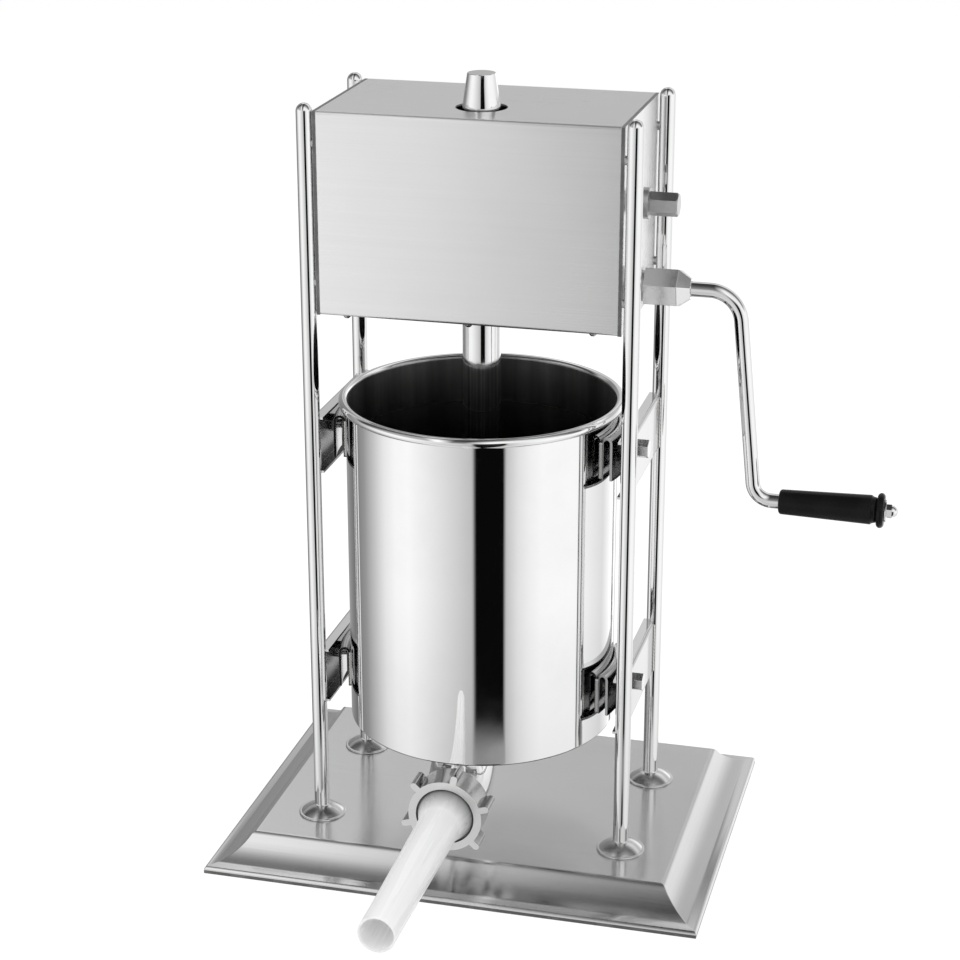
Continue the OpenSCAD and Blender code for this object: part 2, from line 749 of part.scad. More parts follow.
// Keyway and key along the fast shaft's top
module key_box(play) {
    key_z = fast_z + shaft_r - key_depth;
    box([-rack_pinion_w / 2, shaft_y - key_w / 2 - play, key_z - play],
        [gear_x1, shaft_y + key_w / 2 + play, key_z + key_h + play]);
}
module fast_shaft() color(BRIGHT) {
    difference() {
        along_x(-head_half, head_half + fast_collar, shaft_y, fast_z, shaft_r);
        key_box(fit);
    }
    hex_end(head_half + fast_collar, fast_z);
}
module fast_shaft_key() color(BRIGHT) key_box(0);
module rack_pinion() color(STEEL) difference() {
    gear_x(-rack_pinion_w / 2, rack_pinion_w / 2, fast_z, rack_m, rack_pinion_z, 180);
    fast_bore();
}
module fast_bore() {
    along_x(-head_half, head_half, shaft_y, fast_z, shaft_r + fit);
    key_box(fit);
}
module large_gear() color(STEEL) difference() {
    union() {
        gear_x(gear_x0, gear_x1, fast_z, gear_m, gear_z, 270);
        along_x(rack_pinion_w / 2, gear_x0 + over, shaft_y, fast_z, gear_hub_r);
    }
    fast_bore();
    for (x = [gear_x0 - over, gear_x1 - gear_recess_d]) gear_recess(x);
    translate([0, shaft_y, fast_z]) for (i = [0 : gear_holes - 1])
        rotate([360 / gear_holes * (i + 0.5), 0, 0])
            along_x(gear_x0 - over, gear_x1 + over, 0, gear_hole_at, gear_hole_r);
}
module gear_recess(x) difference() {
    along_x(x, x + gear_recess_d + over, shaft_y, fast_z, gear_rim_r);
    along_x(x - over, x + gear_w, shaft_y, fast_z, gear_hub_r);
}

// Clamped collars that keep the shafts in place between the bushes
module shaft_collars(z) for (x = [bush_in - collar_t - air, -bush_in + air]) difference() {
    along_x(x, x + collar_t, shaft_y, z, collar_r);
    along_x(x - over, x + collar_t + over, shaft_y, z, shaft_r + fit);
}
module fast_shaft_collars() color(BRIGHT) shaft_collars(fast_z);
module slow_shaft_collars() color(BRIGHT) shaft_collars(slow_z);

// Slow shaft with its pinion cut from the solid
module slow_pinion_shaft() color(BRIGHT) {
    along_x(-head_half, slow_hex_x0, shaft_y, slow_z, shaft_r);
    gear_x(gear_x0 - pinion_side, gear_x1 + pinion_side, slow_z, gear_m, pinion_z, 90 + 180 / pinion_z);
    hex_end(slow_hex_x0, slow_z);
}

// Ram: round rod with rack teeth cut into its rear, a tapered top and a threaded lower end
module rack_rod() color(BRIGHT) difference() {
    translate([0, axis_y, 0]) {
        translate([0, 0, spigot_z]) cylinder(h = piston_top - spigot_z + over, r = spigot_r);
        translate([0, 0, piston_top]) cylinder(h = rod_top_z - rod_taper_h - piston_top, r = rod_r);
        translate([0, 0, rod_top_z - rod_taper_h])
            cylinder(h = rod_taper_h, r1 = rod_r, r2 = rod_top_d / 2);
    }
    translate([-rod_d, axis_y, 0]) rotate([90, 0, 90]) linear_extrude(height = 2 * rod_d) rack_cut();
}
module rack_cut() {
    flank = tan(pressure);
    half_tip = rack_step / 4 + tooth_play / 2 + rack_m * flank;
    half_root = rack_step / 4 + tooth_play / 2 - root_depth * rack_m * flank;
    root = rack_pitch - root_depth * rack_m;
    below = floor((fast_z - rack_low_z - half_tip) / rack_step);
    above = floor((rack_high_z - fast_z - half_tip) / rack_step);
    polygon(concat(
        [[rod_d, rack_low_z], [rack_tip, rack_low_z]],
        [for (k = [-below : above]) let (z = fast_z + k * rack_step) each
            [[rack_tip, z - half_tip], [root, z - half_root],
            [root, z + half_root], [rack_tip, z + half_tip]]],
        [[rack_tip, rack_high_z], [rod_d, rack_high_z]]));
}

// Piston disc with hub, ribs and a pocket for its nut below
module piston() color("dimgray") translate([0, axis_y, 0]) difference() {
    union() {
        translate([0, 0, piston_z]) cylinder(h = disc_t - fit, r = piston_r);
        translate([0, 0, piston_z]) cylinder(h = disc_t, r = piston_r - seal_depth);
        translate([0, 0, piston_z]) cylinder(h = piston_h, r = piston_hub_r);
        for (i = [0 : piston_ribs - 1]) rotate([0, 0, 360 / piston_ribs * (i + 0.5)])
            box([piston_hub_r - over, -rib_t / 2, piston_z + over],
                [piston_r - piston_rim - air, rib_t / 2, piston_top - rib_drop]);
    }
    translate([0, 0, piston_z - over]) cylinder(h = piston_h + 2 * over, r = spigot_r + fit);
    translate([0, 0, piston_z - over]) cylinder(h = pocket_h + over, r = pocket_r);
    translate([valve_x, 0, piston_z - over]) cylinder(h = disc_t + 2 * over, r = valve_r + fit);
    translate([valve_x, 0, piston_z - over]) cylinder(h = valve_head_h + over, r = valve_head_r + air);
}
// Clamp ring on the disc, with the seal between them
module piston_clamp() color("dimgray") translate([0, axis_y, 0]) {
    ring_z(seal_z, piston_top, piston_r - seal_depth, piston_r - piston_rim);
    ring_z(seal_z + seal_h + fit, piston_top, piston_r, piston_r - piston_rim);
}
// Seal ring with two lips on the wall and a groove between them
module piston_seal() color("dimgray") translate([0, axis_y, seal_z]) rotate_extrude() {
    seal_in = piston_r - seal_depth + fit;
    seal_out = can_in - air;
    lip = 1.2;
    polygon([[seal_in, 0], [seal_out - lip, 0], [seal_out, lip], [seal_out, 2 * lip],
        [seal_out - lip, seal_h / 2], [seal_out, seal_h - 2 * lip],
        [seal_out, seal_h - lip], [seal_out - lip, seal_h], [seal_in, seal_h]]);
}
module piston_washer() color(BRIGHT)
    ring_z(washer_z, washer_z + piston_washer_t, pocket_r - washer_gap, spigot_r + fit, 0, axis_y);
module piston_nut() color(BRIGHT) translate([0, axis_y, washer_z - piston_nut_h])
    hex_nut(piston_nut_h, piston_nut_af, spigot_r + fit);

// Poppet that hangs open below the disc and is pushed shut by the meat
module air_valve() color(BRIGHT) translate([valve_x, axis_y, piston_z - valve_lift]) {
    cylinder(h = valve_head_h - air, r = valve_head_r);
    cylinder(h = valve_lift + disc_t + valve_knob_gap + valve_knob_h + valve_past, r = valve_r);
}
module air_valve_knob() color(BRIGHT) translate([0, 0, piston_z + disc_t + valve_knob_gap])
    ring_z(0, valve_knob_h, valve_knob_r, valve_r + fit, valve_x, axis_y);

// Canister wall with its outward rolled rim
module canister_wall() color(BRIGHT) translate([0, axis_y, 0]) rotate_extrude() {
    bead_r = rim_bead_d / 2;
    bead_step = 0.2;
    translate([can_in, can_z]) square([can_t, can_h - bead_r]);
    translate([can_in + bead_step + bead_r, rim_z - bead_r]) circle(r = bead_r, $fn = 32);
}
module canister_floor() color(BRIGHT) difference() {
    translate([0, axis_y, can_z]) cylinder(h = can_t, r = can_in - fit);
    translate([0, elbow_y, can_z - over]) cylinder(h = can_t + 2 * over, r = pipe_in);
}

// Sheet hooks: bent over into an upside-down U, slotted from below for the hanger bolts
module canister_hooks() color(BRIGHT) for (side = [-1, 1]) for (z = hanger_zs) difference() {
    translate([0, axis_y, z - hook_below]) rotate([0, 0, (side > 0 ? 0 : 180) - hook_angle / 2])
        rotate_extrude(angle = hook_angle) hook_section();
    box([side > 0 ? hook_r0 + hook_t + over : -can_d, axis_y - hanger_r - air, z - hook_below - over],
        [side > 0 ? can_d : -hook_r0 - hook_t - over, axis_y + hanger_r + air, z]);
    along_x(side * (hook_r0 + hook_t + over), side * can_d, axis_y, z, hanger_r + air);
}
module hook_section() {
    r = hook_depth / 2;
    difference() {
        union() {
            translate([hook_r0, 0]) square([hook_depth, hook_h - r]);
            translate([hook_r0 + r, hook_h - r]) circle(r = r, $fn = 32);
        }
        translate([hook_r0 + hook_t, -over]) square([hook_depth - 2 * hook_t, hook_h - r + over]);
        translate([hook_r0 + r, hook_h - r]) circle(r = r - hook_t, $fn = 32);
    }
}

// Elbow from the canister's floor to the outlet
module outlet_elbow() color(BRIGHT) {
    ring_z(can_z - elbow_neck, can_z, pipe_r, pipe_in, 0, elbow_y);
    translate([0, pipe_bend_y, can_z - elbow_neck]) rotate([0, 90, 0])
        rotate_extrude(angle = 90) translate([elbow_r, 0]) difference() {
            circle(r = pipe_r);
            circle(r = pipe_in);
        }
    difference() {
        along_y(pipe_face_y, pipe_bend_y, 0, outlet_z, pipe_r);
        along_y(pipe_face_y - over, pipe_bend_y + over, 0, outlet_z, pipe_in);
    }
}

// Ring nut with wing ribs
module ring_nut() color("gainsboro") difference() {
    union() {
        along_y(nut_face_y, nut_face_y + nut_len, 0, outlet_z, nut_r);
        translate([0, nut_face_y, outlet_z]) for (i = [0 : wings - 1])
            rotate([0, -wing_turn - 360 / wings * i, 0]) wing();
    }
    along_y(nut_seat_y, nut_face_y + nut_len + over, 0, outlet_z, nut_bore_r);
    along_y(nut_face_y - over, nut_seat_y + over, 0, outlet_z, nut_open_d / 2);
}
module wing() {
    wing_out = nut_r + wing_h - wing_t / 2;
    box([nut_r - wing_root, 0, -wing_t / 2], [wing_out, wing_len, wing_t / 2]);
    along_y(0, wing_len, wing_out, 0, wing_t / 2);
}
module tube_gasket() color("ivory") difference() {
    along_y(flange_y0, pipe_face_y, 0, outlet_z, flange_r);
    along_y(flange_y0 - over, pipe_face_y + over, 0, outlet_z, pipe_in);
}

// Translucent tube: flange, cone, long taper and a straight tip for the casing
module stuffing_tube() color("white", 0.8)
    translate([0, flange_y0, outlet_z]) rotate([90, 0, 0]) rotate_extrude() tube_section();
module tube_section() {
    root_r = tube_root_d / 2;
    tip_r = tube_tip_d / 2;
    cone_end = flange_t + cone_len;
    tip_end = flange_y0 - tube_tip_y;
    tip_start = tip_end - tube_tip_len;
    polygon([[cone_r - tube_t, 0], [flange_r, 0], [flange_r, flange_t], [cone_r, flange_t],
        [root_r, cone_end], [tip_r, tip_start], [tip_r, tip_end],
        [tip_r - tube_t, tip_end], [tip_r - tube_t, tip_start], [root_r - tube_t, cone_end]]);
}

// Crank hub: hexagon with a tapered end, a hexagon socket and a bore for the arm
module crank_hub() color(STEEL) difference() {
    translate([0, shaft_y, slow_z]) rotate([hub_turn, 0, 0]) {
        hex_x(hub_x0, hub_x1, 0, 0, hub_af);
        translate([hub_x1, 0, 0]) rotate([0, 90, 0])
            cylinder(h = hub_taper, r1 = hub_af / sqrt(3), r2 = hub_end_r, $fn = 6);
    }
    hex_x(hub_x0 - over, socket_end, shaft_y, slow_z, hex_af + socket_play);
    along_x(arm_x0, hub_x2 + over, shaft_y, slow_z, arm_r + fit);
}

// Bent crank arm, ending in the spindle that the grip turns on
module crank_arm() color(BRIGHT) {
    along_x(arm_x0, arm_bend_x + arm_lap, shaft_y, slow_z, arm_run_r);
    translate([arm_bend_x, shaft_y, slow_z - arm_top_r]) arm_bend(arm_top_r, arm_lean);
    translate([bend1_end[0], shaft_y, bend1_end[1]]) rotate([0, 180 - arm_lean, 0])
        translate([0, 0, -arm_lap]) cylinder(h = arm_straight + 2 * arm_lap, r = arm_run_r);
    translate([bend2_centre[0], shaft_y, bend2_centre[1]]) arm_bend(arm_low_r, 180 + arm_lean);
    along_x(bend2_centre[0] - arm_lap, grip_x0, shaft_y, grip_z, arm_run_r);
    along_x(grip_x0 - over, shoulder_x, shaft_y, grip_z, spindle_r);
    along_x(shoulder_x - over, cap_x0 + cap_thread, shaft_y, grip_z, grip_thread_r);
}
module arm_bend(r, from) rotate([90, 0, 0]) rotate([0, 0, from])
    rotate_extrude(angle = 90 - arm_lean) translate([r, 0]) circle(r = arm_r);

// Turned grip, free on the spindle
module crank_grip() color("dimgray")
    translate([grip_x0 + air, shaft_y, grip_z]) rotate([0, 90, 0]) rotate_extrude() grip_section();
module grip_section() {
    bore = spindle_r + spindle_play;
    bead = 3;
    edge = 1.5;
    groove = 2;
    waist = grip_len - 2 * bead - 2 * groove;
    groove_r = grip_d2 / 2 - edge;
    polygon([[bore, 0], [grip_d1 / 2 - edge, 0], [grip_d1 / 2, edge], [grip_d2 / 2, waist],
        [groove_r, waist + groove], [groove_r, grip_len], [bore, grip_len]]);
    translate([grip_bead_d / 2 - bead, grip_len - bead]) circle(r = bead, $fn = 32);
}
module grip_washer() color(BRIGHT) difference() {
    along_x(shoulder_x, cap_x0, shaft_y, grip_z, spindle_d);
    along_x(shoulder_x - over, cap_x0 + over, shaft_y, grip_z, grip_thread_r + fit);
}
module grip_nut() color(BRIGHT) difference() {
    union() {
        hex_x(cap_x0, cap_x0 + cap_hex_h, shaft_y, grip_z, cap_af);
        translate([cap_x0 + cap_hex_h, shaft_y, grip_z]) sphere(r = cap_dome_r);
    }
    along_x(cap_x0 - cap_dome_r, cap_x0, shaft_y, grip_z, spindle_d);
    along_x(cap_x0 - over, cap_x0 + cap_thread + arm_seat, shaft_y, grip_z, grip_thread_r + fit);
}

base_tray();
post_front_left();
post_front_right();
post_rear_left();
post_rear_right();
post_rosettes();
post_washers();
post_nuts();
channel_upper_left();
channel_upper_right();
channel_lower_left();
channel_lower_right();
hanger_bolts();
hanger_nuts();
side_plate_left();
side_plate_right();
front_cover();
rear_cover();
bottom_plate();
cover_screws();
post_spacers();
post_screws();
rod_bush();
guide_bridge();
shaft_bushes();
fast_shaft();
fast_shaft_key();
rack_pinion();
large_gear();
fast_shaft_collars();
slow_pinion_shaft();
slow_shaft_collars();
rack_rod();
piston();
piston_clamp();
piston_seal();
piston_washer();
piston_nut();
air_valve();
air_valve_knob();
canister_wall();
canister_floor();
canister_hooks();
outlet_elbow();
ring_nut();
tube_gasket();
stuffing_tube();
crank_hub();
crank_arm();
crank_grip();
grip_washer();
grip_nut();
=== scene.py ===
# %% [markdown]
# # An upright sausage stuffer in polished and brushed steel
# The machine stands on a pressed tray. Four bright posts carry a satin head with the gears, a rod with a
# piston runs down into a mirror-bright canister, and a milky tube leaves at the front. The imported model
# holds every size and every moving body. This lesson dresses it: finer edges, rolled rims, welds, finishes,
# light and camera.

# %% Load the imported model
import json
import math
import bpy
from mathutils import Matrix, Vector

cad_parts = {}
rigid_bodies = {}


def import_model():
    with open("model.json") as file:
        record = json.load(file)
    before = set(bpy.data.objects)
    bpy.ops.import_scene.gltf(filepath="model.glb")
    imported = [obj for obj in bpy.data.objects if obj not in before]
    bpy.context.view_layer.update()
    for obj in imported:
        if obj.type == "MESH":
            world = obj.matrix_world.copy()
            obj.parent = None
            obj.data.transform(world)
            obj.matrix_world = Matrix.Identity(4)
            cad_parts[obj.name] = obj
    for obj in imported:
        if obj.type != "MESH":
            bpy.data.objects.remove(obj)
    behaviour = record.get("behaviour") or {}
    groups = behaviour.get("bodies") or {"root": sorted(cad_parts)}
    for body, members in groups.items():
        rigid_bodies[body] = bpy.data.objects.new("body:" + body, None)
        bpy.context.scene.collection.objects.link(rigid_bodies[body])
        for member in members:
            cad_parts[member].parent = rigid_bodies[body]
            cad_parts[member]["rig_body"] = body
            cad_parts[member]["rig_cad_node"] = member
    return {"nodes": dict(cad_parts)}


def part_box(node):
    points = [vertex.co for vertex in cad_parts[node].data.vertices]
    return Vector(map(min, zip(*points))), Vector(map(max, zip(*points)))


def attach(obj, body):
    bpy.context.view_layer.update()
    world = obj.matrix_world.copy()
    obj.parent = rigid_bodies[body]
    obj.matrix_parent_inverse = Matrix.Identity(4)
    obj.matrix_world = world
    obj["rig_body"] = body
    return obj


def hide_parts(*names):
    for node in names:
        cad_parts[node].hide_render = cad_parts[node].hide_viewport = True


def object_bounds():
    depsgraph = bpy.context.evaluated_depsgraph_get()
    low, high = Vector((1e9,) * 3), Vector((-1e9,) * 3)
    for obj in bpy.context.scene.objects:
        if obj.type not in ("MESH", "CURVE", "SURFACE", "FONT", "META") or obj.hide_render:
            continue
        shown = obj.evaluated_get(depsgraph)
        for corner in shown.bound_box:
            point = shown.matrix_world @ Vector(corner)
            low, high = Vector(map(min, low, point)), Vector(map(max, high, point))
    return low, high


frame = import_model()
cad_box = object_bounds()
nodes = frame["nodes"]
body_of = {name: obj["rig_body"] for name, obj in nodes.items()}
MM = 0.001

# %% [markdown]
# ## Effects that several finishes share
# Three effects come back in many finishes, so each is a node group: brush lines, handling marks (soft
# smudges from wiping and fingers) and edge wear (paler metal or plastic where an edge rubs). The groups
# only hand out masks that vary over the surface; every shader stays in its own material.

# %% Node helpers
def feed(tree, socket, value):
    """Link an output into a socket, or write a plain value on it."""
    if isinstance(value, bpy.types.NodeSocket):
        tree.links.new(value, socket)
    else:
        socket.default_value = value


def add_node(tree, kind, inputs=None, **settings):
    """Add a node, set its properties and feed its inputs."""
    node = tree.nodes.new(kind)
    for key, value in settings.items():
        setattr(node, key, value)
    for key, value in (inputs or {}).items():
        feed(tree, node.inputs[key], value)
    return node


def noise(tree, vector, scale, detail=3.0, rough=0.55):
    """A noise pattern as one value."""
    inputs = {"Vector": vector, "Scale": scale, "Detail": detail, "Roughness": rough}
    return add_node(tree, "ShaderNodeTexNoise", inputs).outputs["Fac"]


def spread(tree, value, low, high, to_low=0.0, to_high=1.0):
    """Map a value from low..high to another range, clamped."""
    inputs = {"Value": value, "From Min": low, "From Max": high, "To Min": to_low, "To Max": to_high}
    return add_node(tree, "ShaderNodeMapRange", inputs).outputs["Result"]


def maths(tree, operation, first, second):
    """One step of arithmetic on two values."""
    return add_node(tree, "ShaderNodeMath", {0: first, 1: second}, operation=operation).outputs[0]


def blend_colour(tree, factor, first, second):
    """Mix two colours: they go into sockets 6 and 7 of the Mix node and leave by output 2."""
    node = add_node(tree, "ShaderNodeMix", {"Factor": factor}, data_type="RGBA")
    for place, colour in ((6, first), (7, second)):
        linked = isinstance(colour, bpy.types.NodeSocket)
        feed(tree, node.inputs[place], colour if linked else (*colour, 1))
    return node.outputs[2]


def new_group(name, inputs, outputs):
    """An empty shader group with float or vector inputs and float outputs."""
    group = bpy.data.node_groups.new(name, "ShaderNodeTree")
    for label, kind, value in inputs:
        socket = group.interface.new_socket(label, in_out="INPUT", socket_type="NodeSocket" + kind)
        if value is not None:
            socket.default_value = value
    for label in outputs:
        group.interface.new_socket(label, in_out="OUTPUT", socket_type="NodeSocketFloat")
    print("group", name)
    return group, group.nodes.new("NodeGroupInput").outputs, group.nodes.new("NodeGroupOutput").inputs


# %% Brush lines group
brush_group, given, result = new_group(
    "brush lines", [("Vector", "Vector", None), ("Along", "Float", 6.0), ("Across", "Float", 1500.0)],
    ["Lines", "Bands"])
stretch = add_node(brush_group, "ShaderNodeCombineXYZ", {0: given["Along"], 1: given["Across"]})
drawn = add_node(brush_group, "ShaderNodeVectorMath", {0: given["Vector"], 1: stretch.outputs[0]},
                 operation="MULTIPLY").outputs[0]
fine_lines = noise(brush_group, drawn, 1.0, detail=4.0, rough=0.7)
wide_lines = noise(brush_group, drawn, 0.06, detail=2.0, rough=0.5)
feed(brush_group, result["Lines"], spread(brush_group, fine_lines, 0.3, 0.7))
feed(brush_group, result["Bands"], spread(brush_group, wide_lines, 0.35, 0.65))

# %% Handling marks group
marks_group, given, result = new_group(
    "handling marks", [("Vector", "Vector", None), ("Scale", "Float", 14.0)], ["Smudge"])
cloudy = noise(marks_group, given["Vector"], given["Scale"], detail=5.0, rough=0.6)
feed(marks_group, result["Smudge"], spread(marks_group, cloudy, 0.45, 0.75))

# %% Edge wear group
wear_group, given, result = new_group(
    "edge wear", [("Vector", "Vector", None), ("Width", "Float", 0.001)], ["Wear"])
rounded = add_node(wear_group, "ShaderNodeBevel", {"Radius": given["Width"]}, samples=4).outputs[0]
true_normal = add_node(wear_group, "ShaderNodeNewGeometry").outputs["Normal"]
turned = add_node(wear_group, "ShaderNodeVectorMath", {0: rounded, 1: true_normal},
                  operation="DOT_PRODUCT").outputs["Value"]
on_edge = spread(wear_group, turned, 0.995, 0.86)
patchy = spread(wear_group, noise(wear_group, given["Vector"], 260.0, detail=4.0), 0.35, 0.65)
feed(wear_group, result["Wear"], maths(wear_group, "MULTIPLY", on_edge, patchy))

# %% [markdown]
# ## Finishes
# Stainless steel has one colour and many finishes; where copies below differ in colour, the difference is
# painted light and shade. Each material below mixes the shared effects with its own values, and values that
# never vary sit on the shader's own sockets.

# %% Material helpers
def new_material(name, **constants):
    """A material whose Principled shader has some constant sockets set."""
    material = bpy.data.materials.new(name)
    material.use_nodes = True
    shader = material.node_tree.nodes["Principled BSDF"]
    for key, value in constants.items():
        shader.inputs[key.replace("_", " ")].default_value = value
    print("material", name)
    return material, material.node_tree, shader


def place_group(tree, group, **values):
    """Place a shared effect with its own values, and return its masks."""
    return add_node(tree, "ShaderNodeGroup", values, node_tree=group).outputs


def object_vector(tree):
    """The place on the piece, in metres."""
    return add_node(tree, "ShaderNodeTexCoord").outputs["Object"]


def raise_bump(tree, shader, height, strength, distance):
    """Let a height bend the normals."""
    bump = add_node(tree, "ShaderNodeBump", {"Height": height, "Strength": strength, "Distance": distance})
    feed(tree, shader.inputs["Normal"], bump.outputs["Normal"])
    return bump


def paint(tree, shader, colour, roughness):
    """Feed a shader's colour and roughness."""
    feed(tree, shader.inputs["Base Color"], colour)
    feed(tree, shader.inputs["Roughness"], roughness)


def grey(level, warm=0.0):
    """A grey, with a little less green and blue if it is warm."""
    return (level, level - 0.3 * warm, level - warm)


# %% [markdown]
# ### Brushed sheet
# Head and tray are brushed: fine lines that run one way, and a shine that is pulled out across them. Noise
# stretched along a map makes the lines, because unlike a picture of scratches it never repeats and stays
# sharp close up. Thin sheet bulges a hair, so a second bump bends the highlight of the front cover.

# %% Brushed sheet
def bow_front(tree, bump, crown):
    """Bend the normals of the front as if the sheet bulged by crown times X squared."""
    place = add_node(tree, "ShaderNodeSeparateXYZ", {0: object_vector(tree)}).outputs
    normal = add_node(tree, "ShaderNodeNewGeometry").outputs["Normal"]
    facing = add_node(tree, "ShaderNodeSeparateXYZ", {0: normal}).outputs
    bulge = maths(tree, "MULTIPLY", maths(tree, "POWER", place["X"], 2.0), -crown)
    bulge = maths(tree, "MULTIPLY", bulge, spread(tree, facing["Y"], -0.9, -0.98))
    bowed = add_node(tree, "ShaderNodeBump", {"Height": bulge, "Strength": 1.0, "Distance": 1.0})
    feed(tree, bump.inputs["Normal"], bowed.outputs["Normal"])


def brushed_sheet(name, dark, pale, rough_low, rough_high, pull=0.8, crown=0.0):
    """Brushed steel on the map named brush; pull stretches its shine, crown bends its front."""
    material, tree, shader = new_material(name, Metallic=1.0, Anisotropic=pull, Anisotropic_Rotation=0.25)
    sheet_uv = add_node(tree, "ShaderNodeUVMap", uv_map="brush").outputs["UV"]
    lines = place_group(tree, brush_group, Vector=sheet_uv, Along=4.0, Across=2600.0)
    marks = place_group(tree, marks_group, Vector=object_vector(tree), Scale=9.0)
    fine_share = maths(tree, "MULTIPLY", lines["Lines"], 0.8)
    grain = maths(tree, "ADD", fine_share, maths(tree, "MULTIPLY", lines["Bands"], 0.2))
    smear = maths(tree, "MULTIPLY", marks["Smudge"], 0.05)
    dull = maths(tree, "ADD", spread(tree, grain, 0.0, 1.0, rough_high, rough_low), smear)
    paint(tree, shader, blend_colour(tree, grain, dark, pale), dull)
    tangent = add_node(tree, "ShaderNodeTangent", direction_type="UV_MAP", uv_map="brush")
    feed(tree, shader.inputs["Tangent"], tangent.outputs[0])
    fine = raise_bump(tree, shader, lines["Lines"], 0.05, 0.1 * MM)
    if crown:
        bow_front(tree, fine, crown)
    return material


# The side and front copies are paler than the satin and tray steel: the same brushed steel with painted light.
satin_steel = brushed_sheet("satin steel", grey(0.71), grey(0.76), 0.24, 0.30, pull=0.9)
side_steel_painted_light = brushed_sheet("side steel painted light", grey(0.92), grey(0.96), 0.24, 0.30)
front_steel_painted_light = brushed_sheet("front steel painted light", grey(0.88), grey(0.93), 0.26, 0.31, crown=0.5)
tray_steel = brushed_sheet("tray steel", grey(0.73), grey(0.78), 0.15, 0.21, pull=0.88)


# %% [markdown]
# ### Polished steel
# Canister, posts and rod are mirrors. A perfect mirror looks like glass, so wiping marks change the
# roughness a little, and a slow wave in the sheet lets straight reflections wander.

# %% Polished steel
def polished(name, colour, rough_low, rough_high, wave):
    """Polished steel with wiping marks; wave is how far the sheet is from flat."""
    material, tree, shader = new_material(name, Metallic=1.0)
    vector = object_vector(tree)
    marks = place_group(tree, marks_group, Vector=vector, Scale=11.0)
    hazy = blend_colour(tree, marks["Smudge"], colour, [0.95 * level for level in colour])
    paint(tree, shader, hazy, spread(tree, marks["Smudge"], 0.0, 1.0, rough_low, rough_high))
    raise_bump(tree, shader, noise(tree, vector, 22.0, detail=1.0), wave, 0.2 * MM)
    return material


mirror_steel = polished("mirror steel", grey(0.90), 0.03, 0.08, 0.02)
bright_bar = polished("bright bar", grey(0.88), 0.04, 0.09, 0.02)
spun_steel = polished("spun steel", grey(0.80), 0.22, 0.28, 0.02)
channel_steel = polished("channel steel", grey(0.82), 0.10, 0.16, 0.04)
# Hooks and channel webs: polished steel painted darker, a painted shade between canister and channels.
hook_steel_painted_shade = polished("hook steel painted shade", grey(0.50), 0.10, 0.18, 0.05)
weld_steel = polished("weld steel", grey(0.66, 0.02), 0.14, 0.30, 0.2)

# %% [markdown]
# ### Inside the canister
# The piston scrapes the inside, so it is streaked from top to bottom and duller towards the mouth. Its colour
# is painted far darker than the outside, a painted shade for the deep inside. Noise stretched along Z gives
# the streaks, and the height itself gives the roughness.

# %% Drawn steel inside the canister
SCUFF_FROM = 320 * MM
SCUFF_TO = 400 * MM
scraped_steel_painted_shade, tree, shader = new_material("inner steel painted shade", Metallic=1.0)
squeezed = add_node(tree, "ShaderNodeMapping", {"Vector": object_vector(tree), "Scale": (1.0, 1.0, 0.05)})
streaks = spread(tree, noise(tree, squeezed.outputs["Vector"], 38.0, detail=4.0), 0.35, 0.7)
height = add_node(tree, "ShaderNodeSeparateXYZ", {0: object_vector(tree)}).outputs["Z"]
scuffed = spread(tree, height, SCUFF_FROM, SCUFF_TO, 0.18, 0.36)
# Painted shade: greys of .28 to .62, far darker than the outer steel, with the scraped streaks between them.
paint(tree, shader, blend_colour(tree, streaks, grey(0.28), grey(0.62)), scuffed)


# %% [markdown]
# ### Turned, milled and cast metal
# Shafts, screws, gears and the ring nut come from a lathe, a mill or a mould. They are greyer than sheet,
# have a fine grain and shine where edges rub, so one function makes them all.

# %% Turned, milled and cast metal
def paint_worn(tree, shader, dark, pale, wear_tint, marks_scale, wear_width, rough_range):
    """Paint handling marks between two colours and roughnesses, and worn edges in a third colour."""
    vector = object_vector(tree)
    smudge = place_group(tree, marks_group, Vector=vector, Scale=marks_scale)["Smudge"]
    wear = place_group(tree, wear_group, Vector=vector, Width=wear_width)["Wear"]
    worn = blend_colour(tree, wear, blend_colour(tree, smudge, dark, pale), wear_tint)
    paint(tree, shader, worn, spread(tree, smudge, 0.0, 1.0, *rough_range))


def machined(name, dark, pale, rough, wear_tint):
    """Duller metal with a fine grain and bright worn edges."""
    material, tree, shader = new_material(name, Metallic=1.0)
    paint_worn(tree, shader, dark, pale, wear_tint, 60.0, 0.8 * MM, (rough, rough + 0.12))
    raise_bump(tree, shader, noise(tree, object_vector(tree), 900.0), 0.08, 0.1 * MM)
    return material


turned_steel = machined("turned steel", grey(0.50), grey(0.60), 0.28, grey(0.9))
hub_metal = machined("milled hub steel", grey(0.90), grey(0.97, 0.01), 0.18, grey(0.98))
zinc = machined("zinc plating", grey(0.62), grey(0.74), 0.16, grey(0.9))
# Near-black steel that stands for shade: painted shade in hollows, gaps, skirts and undersides.
dark_painted_shade_steel = machined("painted shade steel", grey(0.16), grey(0.26), 0.24, grey(0.6))
# Near-black steel for the rack: grease in the teeth and painted shade inside the canister.
greased_and_shaded_steel = machined("greased and shaded steel", grey(0.05), grey(0.10), 0.34, grey(0.3))
# One casting in two copies: the body painted darker as shade, the front face painted paler as light.
casting_painted_shade = machined("polished casting painted shade", grey(0.46), grey(0.54, 0.01), 0.10, grey(0.92))
casting_face_painted_light = machined("casting face painted light", grey(0.84), grey(0.90, 0.01), 0.30, grey(0.95))
bronze = machined("bush bronze", (0.50, 0.33, 0.16), (0.60, 0.42, 0.22), 0.28, (0.75, 0.56, 0.32))


# %% [markdown]
# ### Plastics and rubber
# Grip, piston and seal are moulded: the grip black and glossy, the others duller. They share marks and wear
# with the metals, but their shader isn't metallic.

